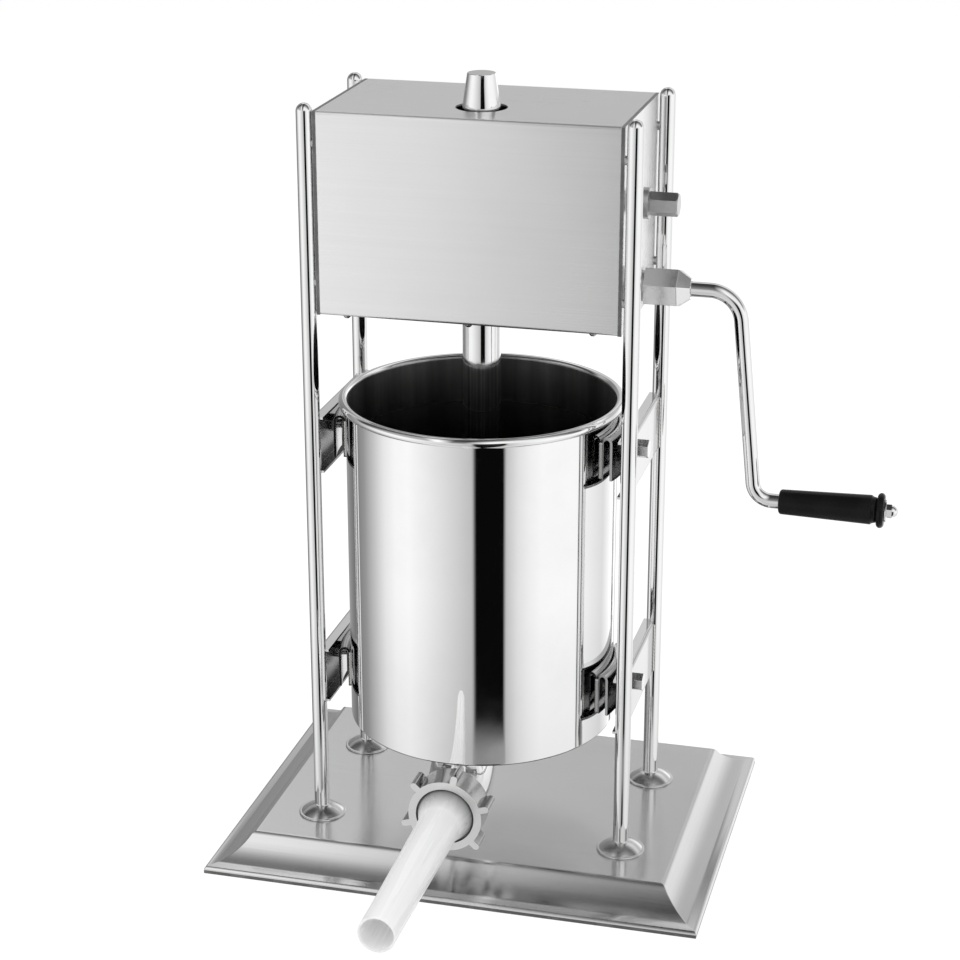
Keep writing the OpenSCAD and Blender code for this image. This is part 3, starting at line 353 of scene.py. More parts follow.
# %% Plastics and rubber
def moulded(name, dark, pale, rough, grain, wear_tint, **constants):
    """Moulded plastic or rubber with a fine grain and paler worn edges."""
    material, tree, shader = new_material(name, **constants)
    paint_worn(tree, shader, dark, pale, wear_tint, 30.0, 1.2 * MM, (rough, rough + 0.1))
    raise_bump(tree, shader, noise(tree, object_vector(tree), 1400.0, detail=2.0), grain, 0.1 * MM)
    return material


PLASTIC_IOR = 1.49
grip_black = moulded("grip plastic", grey(0.005), grey(0.009), 0.24, 0.06, grey(0.03),
                     Specular_IOR_Level=0.14)
piston_black = moulded("piston plastic", grey(0.030), grey(0.045), 0.38, 0.08, grey(0.08))
seal_dark = moulded("seal rubber", grey(0.035), grey(0.05), 0.55, 0.10, grey(0.06))
# The tube's neck inside the ring nut: a dark grey painted shade, where no light reaches.
neck_plastic_painted_shade = moulded("milky tube neck painted shade", grey(0.26), grey(0.34), 0.20, 0.02, grey(0.5), IOR=PLASTIC_IOR)


# %% [markdown]
# ### Milky plastic
# The tube lets light in and spreads it, which Subsurface does: a little on the outside, so that it keeps
# its form, and a lot in the bore, which glows. Faint flow lines run along it, and the cone darkens towards
# the ring nut, where no light comes through.

# %% Milky plastic
SHADE_FROM = 25 * MM
SHADE_TO = 6 * MM
root_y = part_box("stuffing_tube")[1].y


def milky_plastic(name, dark, pale, weight, scale, root=1.0):
    """Translucent plastic; weight and scale let light through, root is the share left at the cone."""
    material, tree, shader = new_material(name, IOR=PLASTIC_IOR, Subsurface_Weight=weight,
                                          Subsurface_Scale=scale, Subsurface_Radius=(1, 1, 1))
    flow = add_node(tree, "ShaderNodeMapping", {"Vector": object_vector(tree), "Scale": (1.0, 0.03, 1.0)})
    lines = noise(tree, flow.outputs["Vector"], 130.0, detail=2.0)
    flowing = blend_colour(tree, spread(tree, lines, 0.35, 0.65), dark, pale)
    along = add_node(tree, "ShaderNodeSeparateXYZ", {0: object_vector(tree)}).outputs["Y"]
    shaded = spread(tree, along, root_y - SHADE_FROM, root_y - SHADE_TO, 0.0, 1.0 - root)
    matt = spread(tree, lines, 0.3, 0.7, 0.20, 0.34)
    paint(tree, shader, blend_colour(tree, shaded, flowing, grey(0.0)), matt)
    return material


milky = milky_plastic("milky tube", grey(0.91), grey(0.97), 0.3, 2 * MM, root=0.22)
milky_bore = milky_plastic("milky tube bore", grey(0.93), grey(0.97), 1.0, 12 * MM)

# %% [markdown]
# ## Hands: pick, edit, finish
# Every operator works on what is selected, so each step first leaves one object selected and active. The
# finishing helper shades smooth by angle and weights the normals by face area: on bright metal, flat faces
# then reflect as flat faces, and only the rounded edges bend the light.

# %% Pick and edit
MERGE = 0.005 * MM
NEAR = 0.1 * MM


def deselect():
    """Empty the selection in object mode."""
    bpy.ops.object.select_all(action="DESELECT")


def pick(piece):
    """Leave one object selected and active, in object mode."""
    if bpy.context.mode != "OBJECT":
        bpy.ops.object.mode_set(mode="OBJECT")
    deselect()
    piece.select_set(True)
    bpy.context.view_layer.objects.active = piece


def named(name):
    """Name the object that was just added, and return it."""
    piece = bpy.context.active_object
    piece.name = name
    return piece


def edit_all(piece):
    """Open a piece in edit mode with everything selected."""
    pick(piece)
    bpy.ops.object.mode_set(mode="EDIT")
    bpy.ops.mesh.select_mode(type="VERT")
    bpy.ops.mesh.select_all(action="SELECT")


def edit_some(piece, kind, chosen):
    """Open a piece in edit mode with only the edges or faces that chosen(item) accepts."""
    edit_all(piece)
    bpy.ops.mesh.select_mode(type=kind)
    bpy.ops.mesh.select_all(action="DESELECT")
    pick(piece)
    for item in piece.data.polygons if kind == "FACE" else piece.data.edges:
        item.select = chosen(item)
    bpy.ops.object.mode_set(mode="EDIT")


def extrude(offset):
    """Extrude the selection and move its new end by offset."""
    bpy.ops.mesh.extrude_region_move(TRANSFORM_OT_translate={"value": offset})


def face_outwards():
    """Select the whole mesh and turn every face outwards."""
    bpy.ops.mesh.select_all(action="SELECT")
    bpy.ops.mesh.normals_make_consistent(inside=False)


# %% Finish and seat
def apply_modifier(piece, kind, **settings):
    """Add one modifier with its settings and apply it to the mesh."""
    pick(piece)
    modifier = piece.modifiers.new(kind.title(), kind)
    for key, value in settings.items():
        setattr(modifier, key, value)
    bpy.ops.object.modifier_apply(modifier=modifier.name)


def finish_normals(piece, angle=35):
    """Shade smooth below an angle, and let large faces set the normals."""
    pick(piece)
    bpy.ops.object.shade_smooth_by_angle(angle=math.radians(angle))
    apply_modifier(piece, "WEIGHTED_NORMAL", weight=80, keep_sharp=True)


def seat(piece, node, material, *replaced):
    """Ride on a node's body with its slot and a finish, and stand for the named nodes."""
    piece.data.materials.clear()
    piece.data.materials.append(material)
    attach(piece, body_of[node])
    if replaced:
        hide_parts(*replaced)
    print(piece.name, len(piece.data.polygons), "faces on", body_of[node])


def add_finish(piece, material, chosen):
    """Give the faces that chosen(face) accepts one more material."""
    piece.data.materials.append(material)
    for face in piece.data.polygons:
        if chosen(face):
            face.material_index = len(piece.data.materials) - 1


# %% [markdown]
# ## The tray
# The base is one pressed sheet: a lip with a rolled outer edge, a hollow bevel that sweeps up like a cove,
# a round crest and a level top. The outline is three arcs. Starting from a plane of the full size, the
# sheet is extruded up and scaled in along the outline, so the corners come out mitred as on the real
# pressing. The underside is then opened and the sheet gets its thickness.

# %% Outline of the pressing
LIP = 9 * MM
LIP_H = 7 * MM
LIP_FALL = 0.8 * MM
ROLL_R = 3 * MM
COVE = 24 * MM
COVE_R = 40 * MM
CREST_R = 6 * MM
SHEET = 2 * MM
half_w, half_d, top_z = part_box("base_tray")[1]


def arc(centre_r, centre_h, radius, start, end, count=8):
    """Points (radius, height) along an arc, angles in degrees."""
    turns = [math.radians(start + (end - start) * i / count) for i in range(count + 1)]
    return [(centre_r + radius * math.cos(a), centre_h + radius * math.sin(a)) for a in turns]


rise = top_z - LIP_H
chord = math.hypot(COVE, rise)
reach = math.sqrt(COVE_R ** 2 - chord ** 2 / 4) / chord
cove_in = LIP + COVE / 2 - rise * reach
cove_z = (top_z + LIP_H) / 2 + COVE * reach
crest_z = top_z - CREST_R
crest_in = cove_in + math.sqrt((COVE_R + CREST_R) ** 2 - (cove_z - crest_z) ** 2)
foot = math.degrees(math.atan2(LIP_H - cove_z, LIP - cove_in))
meet = math.degrees(math.atan2(crest_z - cove_z, crest_in - cove_in))
skirt_z = LIP_H - LIP_FALL - ROLL_R
pressing = arc(ROLL_R, skirt_z, ROLL_R, 180, 90, 4)
pressing += arc(cove_in, cove_z, COVE_R, foot, meet, 18)
pressing += arc(crest_in, crest_z, CREST_R, meet + 180, 90, 8)[1:]
print("pressing of", len(pressing), "points")

# %% Raise the sheet
deselect()
bpy.ops.mesh.primitive_plane_add(size=2)
tray = named("tray_sheet")
edit_all(tray)
bpy.ops.transform.resize(value=(half_w, half_d, 1))
inset_now, z_now = 0.0, 0.0
for inset, z in pressing:
    extrude((0, 0, z - z_now))
    shrink_x = (half_w - inset) / (half_w - inset_now)
    shrink_y = (half_d - inset) / (half_d - inset_now)
    bpy.ops.transform.resize(value=(shrink_x, shrink_y, 1))
    inset_now, z_now = inset, z
edit_some(tray, "FACE", lambda face: face.center.z < NEAR)
bpy.ops.mesh.delete(type="FACE")
face_outwards()
apply_modifier(tray, "SOLIDIFY", thickness=SHEET, offset=-1)
apply_modifier(tray, "BEVEL", width=0.9 * MM, segments=3, limit_method="ANGLE", angle_limit=math.radians(25))
finish_normals(tray, angle=25)
print("tray of", len(tray.data.polygons), "faces,", round(top_z / MM), "mm high")

# %% [markdown]
# ### A map for the brushing
# Brushed sheet has a direction. Noise stretched along X would do on one face, but on the tray the brushing
# turns the corner with the sheet. So each brushed piece gets a small UV map named brush: U runs along the
# brushing in metres, V across it. The same map gives the shader its tangent, so highlights stretch across
# the lines.

# %% Brush and seat the tray
ALONG = {"X": Vector((1, 0, 0)), "Y": Vector((0, 1, 0)), "Z": Vector((0, 0, 1))}


def lay_brush(piece, choose):
    """Write the brush map; choose(face) names the axis that the brushing follows."""
    mesh = piece.data
    layer = mesh.uv_layers.new(name="brush")
    for face in mesh.polygons:
        along = ALONG[choose(face)]
        across = face.normal.cross(along)
        for corner in face.loop_indices:
            point = mesh.vertices[mesh.loops[corner].vertex_index].co
            layer.data[corner].uv = (point.dot(along), point.dot(across))


def tray_brush(face):
    """Brushing runs along each edge of the tray, and along X on its top."""
    on_side = abs(face.center.x) / half_w > abs(face.center.y) / half_d
    past_top = abs(face.center.x) > half_w - LIP - COVE - MM
    return "Y" if on_side and past_top else "X"


lay_brush(tray, tray_brush)
seat(tray, "base_tray", tray_steel, "base_tray")
# The skirt under the rolled edge is painted near-black: a painted shade under the lip.
add_finish(tray, dark_painted_shade_steel, lambda face: face.center.z < skirt_z and abs(face.normal.z) < 0.4)

# %% [markdown]
# ## Rosettes at the feet of the posts
# A spun cover hides each post's hole in the tray: a shallow dome with a small flat brim and a rolled edge.
# It is round, so it is one outline spun about an axis, as by hand: a plane is merged to one point, the
# point is extruded along the outline, and Spin sweeps it round. Screws, canister, tube and grip are turned
# the same way.

# %% Lathe helper
def lathe(name, outline, centre, axis, steps):
    """Spin an outline of (radius, height) points, in metres, about an axis through centre."""
    axis = Vector(axis)
    centre = Vector(centre)
    across = Vector((0, 1, 0)) if abs(axis.x) > 0.5 else Vector((1, 0, 0))
    points = [centre + across * r + axis * h for r, h in outline]
    deselect()
    bpy.ops.mesh.primitive_plane_add(size=MM)
    piece = named(name)
    edit_all(piece)
    bpy.ops.mesh.merge(type="CENTER")
    bpy.ops.transform.translate(value=points[0])
    for here, there in zip(points, points[1:]):
        bpy.ops.mesh.extrude_vertices_move(TRANSFORM_OT_translate={"value": there - here})
    bpy.ops.mesh.select_all(action="SELECT")
    bpy.ops.mesh.spin(steps=steps, angle=2 * math.pi, center=centre, axis=axis)
    bpy.ops.mesh.select_all(action="SELECT")
    bpy.ops.mesh.remove_doubles(threshold=MERGE)
    face_outwards()
    pick(piece)
    return piece


def copy_to(piece, name, shift):
    """Copy a piece with its own mesh, and move the copy by shift."""
    pick(piece)
    bpy.ops.object.duplicate()
    copy = named(name)
    bpy.ops.transform.translate(value=shift)
    bpy.ops.object.transform_apply(location=True)
    return copy


# %% Turn one rosette and copy it
POSTS = ("post_front_left", "post_front_right", "post_rear_left", "post_rear_right")
BRIM = 2 * MM
BRIM_H = 1.6 * MM
BRIM_EDGE = 0.8 * MM
APEX = 0.6 * MM


def upright_axis(node):
    """The point on the floor under the middle of a node."""
    low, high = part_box(node)
    return Vector(((low.x + high.x) / 2, (low.y + high.y) / 2, 0))


post_r = (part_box(POSTS[0])[1].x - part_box(POSTS[0])[0].x) / 2
hole_r = post_r + NEAR
dome_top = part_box("post_rosettes")[1].z - top_z
brim_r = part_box("post_rosettes")[1].x - upright_axis(POSTS[1]).x
dome_foot = brim_r - BRIM
dome_rise = dome_top + APEX - BRIM_H
dome_r = (dome_foot ** 2 + dome_rise ** 2) / (2 * dome_rise)
top_angle = math.degrees(math.acos(hole_r / dome_r))
foot_angle = math.degrees(math.acos(dome_foot / dome_r))
rosette_line = [(hole_r, 0.0)] + arc(0, BRIM_H + dome_rise - dome_r, dome_r, top_angle, foot_angle, 10)
rosette_line += arc(brim_r - BRIM_EDGE, BRIM_EDGE, BRIM_EDGE, 90, -90, 6) + [(hole_r, 0.0)]
rosette_at = upright_axis(POSTS[0]) + Vector((0, 0, top_z))
rosette = lathe("rosette_front_left", rosette_line, rosette_at, (0, 0, 1), 64)
finish_normals(rosette, angle=40)
rosettes = [rosette]
for post in POSTS[1:]:
    shift = upright_axis(post) - upright_axis(POSTS[0])
    rosettes.append(copy_to(rosette, post.replace("post", "rosette"), shift))
for piece in rosettes:
    seat(piece, "post_rosettes", spun_steel, "post_rosettes")

# %% [markdown]
# ## Posts
# The posts are plain bright bars with round ends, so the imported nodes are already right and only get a
# finish.

# %% Finish the posts
def dress(material, *names):
    """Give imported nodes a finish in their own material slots."""
    for name in names:
        nodes[name].data.materials.clear()
        nodes[name].data.materials.append(material)
    print(material.name, "on", ", ".join(names))


dress(bright_bar, *POSTS)

# %% [markdown]
# ## Channels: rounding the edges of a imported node
# A real edge is never a knife: it catches a thin line of light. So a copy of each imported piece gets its
# sharp edges rounded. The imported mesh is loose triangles, so the copy is merged first and its flat triangles
# are dissolved into whole faces, which Bevel needs to run clean.

# %% Soften helper
FLAT = math.radians(0.3)


def round_fold(piece, radius):
    """Round the edge where a folded sheet turns from its front to its top."""
    pick(piece)
    points = [vertex.co.copy() for vertex in piece.data.vertices]
    front_y = min(point.y for point in points) + NEAR
    upper_z = max(point.z for point in points) - NEAR
    on_fold = [point.y < front_y and point.z > upper_z for point in points]
    edit_some(piece, "EDGE", lambda edge: all(on_fold[i] for i in edge.vertices))
    bpy.ops.mesh.bevel(offset=radius, segments=5, affect="EDGES")


def soften(node, width, segments=3, limit=32, fold=0.0):
    """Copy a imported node, merge it, round its fold and bevel its sharp edges by width metres."""
    pick(nodes[node])
    bpy.ops.object.duplicate()
    piece = named(node + "_finished")
    piece.parent = None
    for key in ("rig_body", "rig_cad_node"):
        del piece[key]
    edit_all(piece)
    bpy.ops.mesh.customdata_custom_splitnormals_clear()
    bpy.ops.mesh.remove_doubles(threshold=MERGE)
    bpy.ops.mesh.dissolve_limited(angle_limit=FLAT)
    if fold:
        round_fold(piece, fold)
    apply_modifier(piece, "BEVEL", width=width, segments=segments, limit_method="ANGLE",
                   angle_limit=math.radians(limit), use_clamp_overlap=True, miter_outer="MITER_ARC")
    finish_normals(piece)
    return piece


# %% [markdown]
# ### Weld beads
# Where a channel meets a post there is a weld, a row of small puddles that froze one on the next. A ring is
# extruded upward and swells and shrinks at every step. Each bead has only a few faces, because there are
# many.

# %% Bead helpers
BEAD_WAIST = 1.05 * MM
BEAD_SWELL = 1.3


def weld_bead(foot, height, ripples):
    """A standing bead on the point foot: a ring extruded up that swells and shrinks."""
    deselect()
    bpy.ops.mesh.primitive_circle_add(vertices=10, radius=BEAD_WAIST, fill_type="NGON", location=foot)
    piece = named("bead")
    edit_all(piece)
    for step in range(2 * ripples):
        size = BEAD_SWELL if step % 2 == 0 else 1 / BEAD_SWELL
        extrude((0, 0, height / (2 * ripples)))
        bpy.ops.transform.resize(value=(size, size, 1))
    face_outwards()
    pick(piece)
    bpy.ops.object.transform_apply(location=True)
    bpy.ops.object.shade_smooth_by_angle(angle=math.radians(80))
    return piece


def join_pieces(name, pieces):
    """Join pieces into the first one and name it."""
    pick(pieces[0])
    for piece in pieces:
        piece.select_set(True)
    bpy.ops.object.join()
    pieces[0].name = name
    return pieces[0]


# %% [markdown]
# ### Four channels between the posts
# Each is a folded strip, polished on its edges, with its web painted darker as shade. Its inside looks at the
# canister and is painted near-black, a painted shade. The faces are told apart by where their normals point.

# %% Channels with their welds
CHANNELS = ("channel_upper_left", "channel_upper_right", "channel_lower_left", "channel_lower_right")
CHANNEL_EDGE = 0.5 * MM
WEB = 2 * MM
BEAD_GAP = 0.2 * MM
BEAD_END = 2 * MM


def inside_channel(face, inward, middle_z):
    """Whether a face looks at the canister or into the channel's own hollow."""
    to_middle = middle_z - face.center.z
    return face.normal.x * inward > 0.5 or face.normal.z * to_middle > 0.5 * abs(to_middle)


for channel in CHANNELS:
    low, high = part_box(channel)
    outer_x = high.x if high.x > 0 else low.x
    inward = -math.copysign(1, outer_x)
    middle_z = (low.z + high.z) / 2
    piece = soften(channel, CHANNEL_EDGE)
    seat(piece, channel, channel_steel, channel)
    # The outer web takes the darker polished steel: painted shade.
    add_finish(piece, hook_steel_painted_shade, lambda face: face.normal.x * inward < -0.5)
    # Faces that look at the canister or into the channel's hollow are painted near-black: painted shade.
    add_finish(piece, dark_painted_shade_steel, lambda face: inside_channel(face, inward, middle_z))
    beads = []
    for post_y, towards in ((low.y, 1), (high.y, -1)):
        for x in (outer_x, outer_x + inward * WEB):
            foot = Vector((x, post_y + towards * (post_r + BEAD_GAP), low.z + BEAD_END))
            beads.append(weld_bead(foot, high.z - low.z - 2 * BEAD_END, 13))
    seat(join_pieces(channel.replace("channel", "weld"), beads), channel, weld_steel)

# %% [markdown]
# ### Bolts, nuts and washers
# The canister hangs on four bolts, so their heads are seen. They and the nuts get round edges; washers,
# spacers and screws are almost hidden and keep their nodes.

# %% Bolts, nuts and washers of the frame
BOLT_EDGE = 0.6 * MM
for node in ("hanger_bolts", "hanger_nuts", "post_nuts"):
    seat(soften(node, BOLT_EDGE), node, zinc, node)
dress(turned_steel, "post_washers", "post_spacers", "post_screws")

# %% [markdown]
# ## The head
# Two side plates, a folded front cover and a rear cover close the gear case. Softened copies are enough,
# with a wider round on the front cover's fold. The covers are brushed from side to side, the side plates
# upright, and the plates' cut edges are painted near-black, a painted shade in the gaps beside the covers.

# %% Soften and brush the covers
FOLD = 2 * MM
COVER_EDGE = 0.3 * MM
PLATE_EDGE = 0.5 * MM


def cover_brush(face):
    """Brushing runs from side to side, and from front to back on the flanges."""
    return "Y" if abs(face.normal.x) > 0.7 else "X"


def plate_brush(face):
    """Brushing runs upright, and along the level edges."""
    return "Y" if abs(face.normal.z) > 0.7 else "Z"


# The front cover takes the paler copy of the brushed steel: painted light.
for node, finish, fold in (("front_cover", front_steel_painted_light, FOLD), ("rear_cover", satin_steel, 0.0),
                           ("bottom_plate", satin_steel, 0.0)):
    cover = soften(node, COVER_EDGE, segments=2, fold=fold)
    lay_brush(cover, cover_brush)
    seat(cover, node, finish, node)
for node in ("side_plate_left", "side_plate_right"):
    plate = soften(node, PLATE_EDGE, segments=2)
    lay_brush(plate, plate_brush)
    # The side plates take the paler copy of the brushed steel: painted light.
    seat(plate, node, side_steel_painted_light, node)
    # The plates' top and front edges are painted near-black: painted shade in the gaps beside the covers.
    add_finish(plate, dark_painted_shade_steel, lambda face: face.normal.z > 0.7 or face.normal.y < -0.7)

# %% [markdown]
# ## Cover screws
# Six round-headed screws hold the covers from below. One head is turned on the lathe, a cross recess is cut
# with a Boolean, and the screw is copied to the other five places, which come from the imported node's own
# box.

# %% Turn one screw and cut its recess
HEAD_R = 3.2 * MM
HEAD_H = 3 * MM
SHANK_R = 2 * MM
RECESS = (0.8 * MM, 4 * MM, 2.6 * MM)
screw_low, screw_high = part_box("cover_screws")
screw_x = screw_high.x - HEAD_R
screw_front = screw_low.y + HEAD_R
screw_rear = screw_high.y - HEAD_R
head_z = screw_low.z + HEAD_H
shank = screw_high.z - head_z
head_dome = (HEAD_R ** 2 + HEAD_H ** 2) / (2 * HEAD_H)
screw_line = arc(0, head_dome - HEAD_H, head_dome, -90, -12, 8)
screw_line += [(HEAD_R, 0.0), (SHANK_R, 0.0), (SHANK_R, shank), (0.0, shank)]
screw = lathe("cover_screw_1", screw_line, (-screw_x, screw_front, head_z), (0, 0, 1), 32)
slim, wide, deep = RECESS
for slot in ((slim, wide, deep), (wide, slim, deep)):
    deselect()
    bpy.ops.mesh.primitive_cube_add(size=1, location=(-screw_x, screw_front, screw_low.z), scale=slot)
    cutter = named("recess_cutter")
    apply_modifier(screw, "BOOLEAN", object=cutter, operation="DIFFERENCE")
    bpy.data.objects.remove(cutter)
finish_normals(screw, angle=30)

# %% Copy the screw
screws = [screw]
for x in (-screw_x, 0.0, screw_x):
    for y in (screw_front, screw_rear):
        if (x, y) != (-screw_x, screw_front):
            shift = (x + screw_x, y - screw_front, 0)
            screws.append(copy_to(screw, f"cover_screw_{len(screws) + 1}", shift))
for piece in screws:
    seat(piece, "cover_screws", turned_steel, "cover_screws")

# %% [markdown]
# ## Shafts and bushes
# On the right the two shafts end in hexagons, each in a collar on the side plate. The bare upper stub shows
# machining marks and a bright chamfer. Softened copies give both; the gears inside keep their nodes.

# %% Soften the shafts, finish the gears
SHAFT_EDGE = 0.4 * MM
BUSH_EDGE = 0.5 * MM
for node in ("fast_shaft", "slow_pinion_shaft"):
    seat(soften(node, SHAFT_EDGE, segments=2), node, turned_steel, node)
seat(soften("shaft_bushes", BUSH_EDGE), "shaft_bushes", turned_steel, "shaft_bushes")
dress(turned_steel, "guide_bridge", "fast_shaft_key", "rack_pinion", "large_gear", "fast_shaft_collars",
      "slow_shaft_collars")
dress(bronze, "rod_bush")

# %% [markdown]
# ## The ram
# The rod is bright round bar with a tapered top and rack teeth on its rear. A softened copy rounds the rim
# of the taper and the crests of the teeth. The rack is painted near-black, for grease in the teeth and as
# painted shade where the rod runs in the canister. The piston and its small pieces sit deep in the canister
# and keep their nodes.

# %% Soften the rod, finish the piston
ROD_EDGE = 0.5 * MM
RACK_TOP = 600 * MM
RACK_BEHIND = 5 * MM
rod_low, rod_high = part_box("rack_rod")
rack_y = rod_low.y + (rod_high.x - rod_low.x) / 2 + RACK_BEHIND
rod = soften("rack_rod", ROD_EDGE, limit=40)
seat(rod, "rack_rod", bright_bar, "rack_rod")
# The rack faces are painted near-black: grease and painted shade.
add_finish(rod, greased_and_shaded_steel, lambda face: face.center.y > rack_y and face.center.z < RACK_TOP)
dress(piston_black, "piston", "piston_clamp")
dress(seal_dark, "piston_seal", "tube_gasket")
dress(turned_steel, "piston_washer", "piston_nut", "air_valve", "air_valve_knob")

# %% [markdown]
# ## The canister
# The wall is a drawn shell whose rim is curled outward over itself, which stiffens it and gives it the
# bright double line at the mouth. The lathe outline follows the sheet: up the inside, round the curl, back
# inside the curl and down the outside to a small radius at the bottom. The inside gets its own scraped
# finish, painted dark as shade.

# %% Turn the wall with its curled rim
WALL = 2 * MM
CURL_R = 3.8 * MM
CURL_END = -140
BELOW_CURL = 20 * MM
FOOT_R = 2 * MM
FLOOR_GAP = 0.05 * MM
wall_low, wall_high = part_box("canister_wall")
can_axis = upright_axis("canister_wall")
foot_z = wall_low.z
curl_z = wall_high.z - CURL_R
inner_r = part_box("canister_floor")[1].x + FLOOR_GAP
outer_r = inner_r + WALL
curl_c = inner_r + CURL_R
wall_line = [(inner_r, foot_z), (inner_r, curl_z - BELOW_CURL)]
wall_line += arc(curl_c, curl_z, CURL_R, 180, CURL_END, 24)
wall_line += arc(curl_c, curl_z, CURL_R - WALL, CURL_END, 180, 20)
wall_line += [(outer_r, curl_z - BELOW_CURL)] + arc(outer_r - FOOT_R, foot_z + FOOT_R, FOOT_R, 0, -90, 5)
wall_line += [(inner_r, foot_z)]
wall = lathe("canister_shell", wall_line, can_axis, (0, 0, 1), 160)
finish_normals(wall, angle=30)
seat(wall, "canister_wall", mirror_steel, "canister_wall")
# The underside of the foot round is painted near-black: a painted shade along the bottom edge.
add_finish(wall, dark_painted_shade_steel, lambda face: face.center.z < foot_z + 0.6 * FOOT_R and face.normal.z < -0.2)
# The inside faces take the scraped steel, painted dark as shade.
add_finish(wall, scraped_steel_painted_shade, lambda face: (face.center - can_axis).xy.dot(face.normal.xy) < -0.9 * inner_r)
dress(mirror_steel, "canister_floor", "outlet_elbow")

# %% [markdown]
# ### Hooks
# Four sheet hooks on the canister's sides hang on the bolts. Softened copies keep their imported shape, and a
# bead up each side welds them to the wall.

# %% Hooks and their welds
HOOK_EDGE = 0.4 * MM
HOOK_HALF = math.radians(17)
HOOK_H = 36 * MM
HOOK_BEAD = HOOK_H - 6 * MM
bead_circle = outer_r + 0.4 * MM
# The hooks take the darker polished steel: painted shade between canister and channels.
seat(soften("canister_hooks", HOOK_EDGE, segments=2), "canister_hooks", hook_steel_painted_shade, "canister_hooks")
hook_low, hook_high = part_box("canister_hooks")
beads = []
for hook_foot in (hook_low.z, hook_high.z - HOOK_H):
    for middle in (0.0, math.pi):
        for turn in (middle - HOOK_HALF, middle + HOOK_HALF):
            place = Vector((math.cos(turn), math.sin(turn), 0)) * bead_circle
            place += can_axis + Vector((0, 0, hook_foot + MM))
            beads.append(weld_bead(place, HOOK_BEAD, 10))
seat(join_pieces("hook_welds", beads), "canister_hooks", weld_steel)

# %% [markdown]
# ## Ring nut and stuffing tube
# The ring nut is a casting with six wings: softened edges, a polished finish painted darker as shade and a
# front face painted paler as light. The
# tube is milky plastic: a flange and a short neck inside the nut, a cone in front of it, and a long taper
# with a rounded tip. A lathe outline lets the cone ease into the taper without an edge. The neck is painted
# dark grey, a painted shade, since no light reaches it; the bore gets its own finish, since light gathers in
# it.

# %% Soften the nut
NUT_EDGE = 0.9 * MM
ring_nut = soften("ring_nut", NUT_EDGE)
# The body takes the darker copy, painted shade; the front faces take the paler copy, painted light.
seat(ring_nut, "ring_nut", casting_painted_shade, "ring_nut")
add_finish(ring_nut, casting_face_painted_light, lambda face: face.normal.y < -0.8)

# %% Turn the tube
FLANGE = 2.4 * MM
FILLET = 0.6 * MM
NECK = 5 * MM
CONE = 20 * MM
CONE_R = 23.3 * MM
ROOT_R = 17.2 * MM
TIP_R = 15 * MM
TIP = 30 * MM
TIP_EDGE = 0.9 * MM
TUBE_WALL = 1.8 * MM
EASE_MM = ((1.6, -4), (0.6, -1), (0.15, 2), (-0.05, 5))
tube_low, tube_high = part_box("stuffing_tube")
tube_axis = Vector((0, tube_high.y, (tube_low.z + tube_high.z) / 2))
tube_len = tube_high.y - tube_low.y
flange_r = tube_high.x
cone_end = FLANGE + CONE
tube_line = [(CONE_R - TUBE_WALL, 0.0), (flange_r, 0.0), (flange_r, FLANGE), (CONE_R + FILLET, FLANGE)]
tube_line += [(CONE_R, FLANGE + FILLET), (CONE_R, NECK), (CONE_R - 0.4 * MM, NECK + MM)]
tube_line += [(ROOT_R + over * MM, cone_end + past * MM) for over, past in EASE_MM]
tube_line += [(TIP_R, tube_len - TIP)]
tube_line += arc(TIP_R - TIP_EDGE, tube_len - TIP_EDGE, TIP_EDGE, 0, 180)
tube_line += [(TIP_R - TUBE_WALL, tube_len - TIP), (ROOT_R - TUBE_WALL, cone_end + 2 * MM)]
tube_line += [(CONE_R - TUBE_WALL, NECK), (CONE_R - TUBE_WALL, 0.0)]
tube = lathe("milky_tube", tube_line, tube_axis, (0, -1, 0), 80)
finish_normals(tube, angle=30)
seat(tube, "stuffing_tube", milky, "stuffing_tube")
add_finish(tube, milky_bore, lambda face: (face.center - tube_axis).xz.dot(face.normal.xz) < -0.5 * TIP_R)
# The neck inside the nut is painted dark grey: painted shade.
add_finish(tube, neck_plastic_painted_shade, lambda face: face.center.y > tube_high.y - NECK)

# %% [markdown]
# ## The crank
# The hub is a milled hexagon with a tapered end, so a softened copy does. The arm is one bright bar: it
# leaves the hub, bends down, leans out a little, bends again and ends in a slimmer spindle for the grip. A
# circle is extruded along the straight runs and spun through the two bends, just as a bar is bent over a
# former.

# %% Hub
HUB_EDGE = 0.5 * MM
seat(soften("crank_hub", HUB_EDGE), "crank_hub", hub_metal, "crank_hub")

# %% Where the arm bends
ARM_R = 6 * MM
BAR_R = 6.5 * MM
SPINDLE_R = 4.2 * MM
LEAN = math.radians(6)
TOP_BEND = 26 * MM
LOW_BEND = 16 * MM
STUB = 15 * MM
GRIP_GAP = 0.4 * MM
arm_low, arm_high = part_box("crank_arm")
arm_y = (arm_low.y + arm_high.y) / 2
hub_z = arm_high.z - BAR_R
grip_z = arm_low.z + BAR_R
grip_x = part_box("crank_grip")[0].x
nut_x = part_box("grip_nut")[0].x
bend_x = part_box("crank_hub")[1].x + STUB
bend = math.pi / 2 - LEAN
straight = (hub_z - grip_z - (TOP_BEND + LOW_BEND) * (1 - math.sin(LEAN))) / math.cos(LEAN)
run = Vector((math.sin(LEAN), 0, -math.cos(LEAN))) * straight
low_x = bend_x + TOP_BEND * math.cos(LEAN) + run.x + LOW_BEND * math.cos(LEAN)
print("arm of", round(straight / MM), "mm between bends that lie", round((low_x - bend_x) / MM), "mm apart")

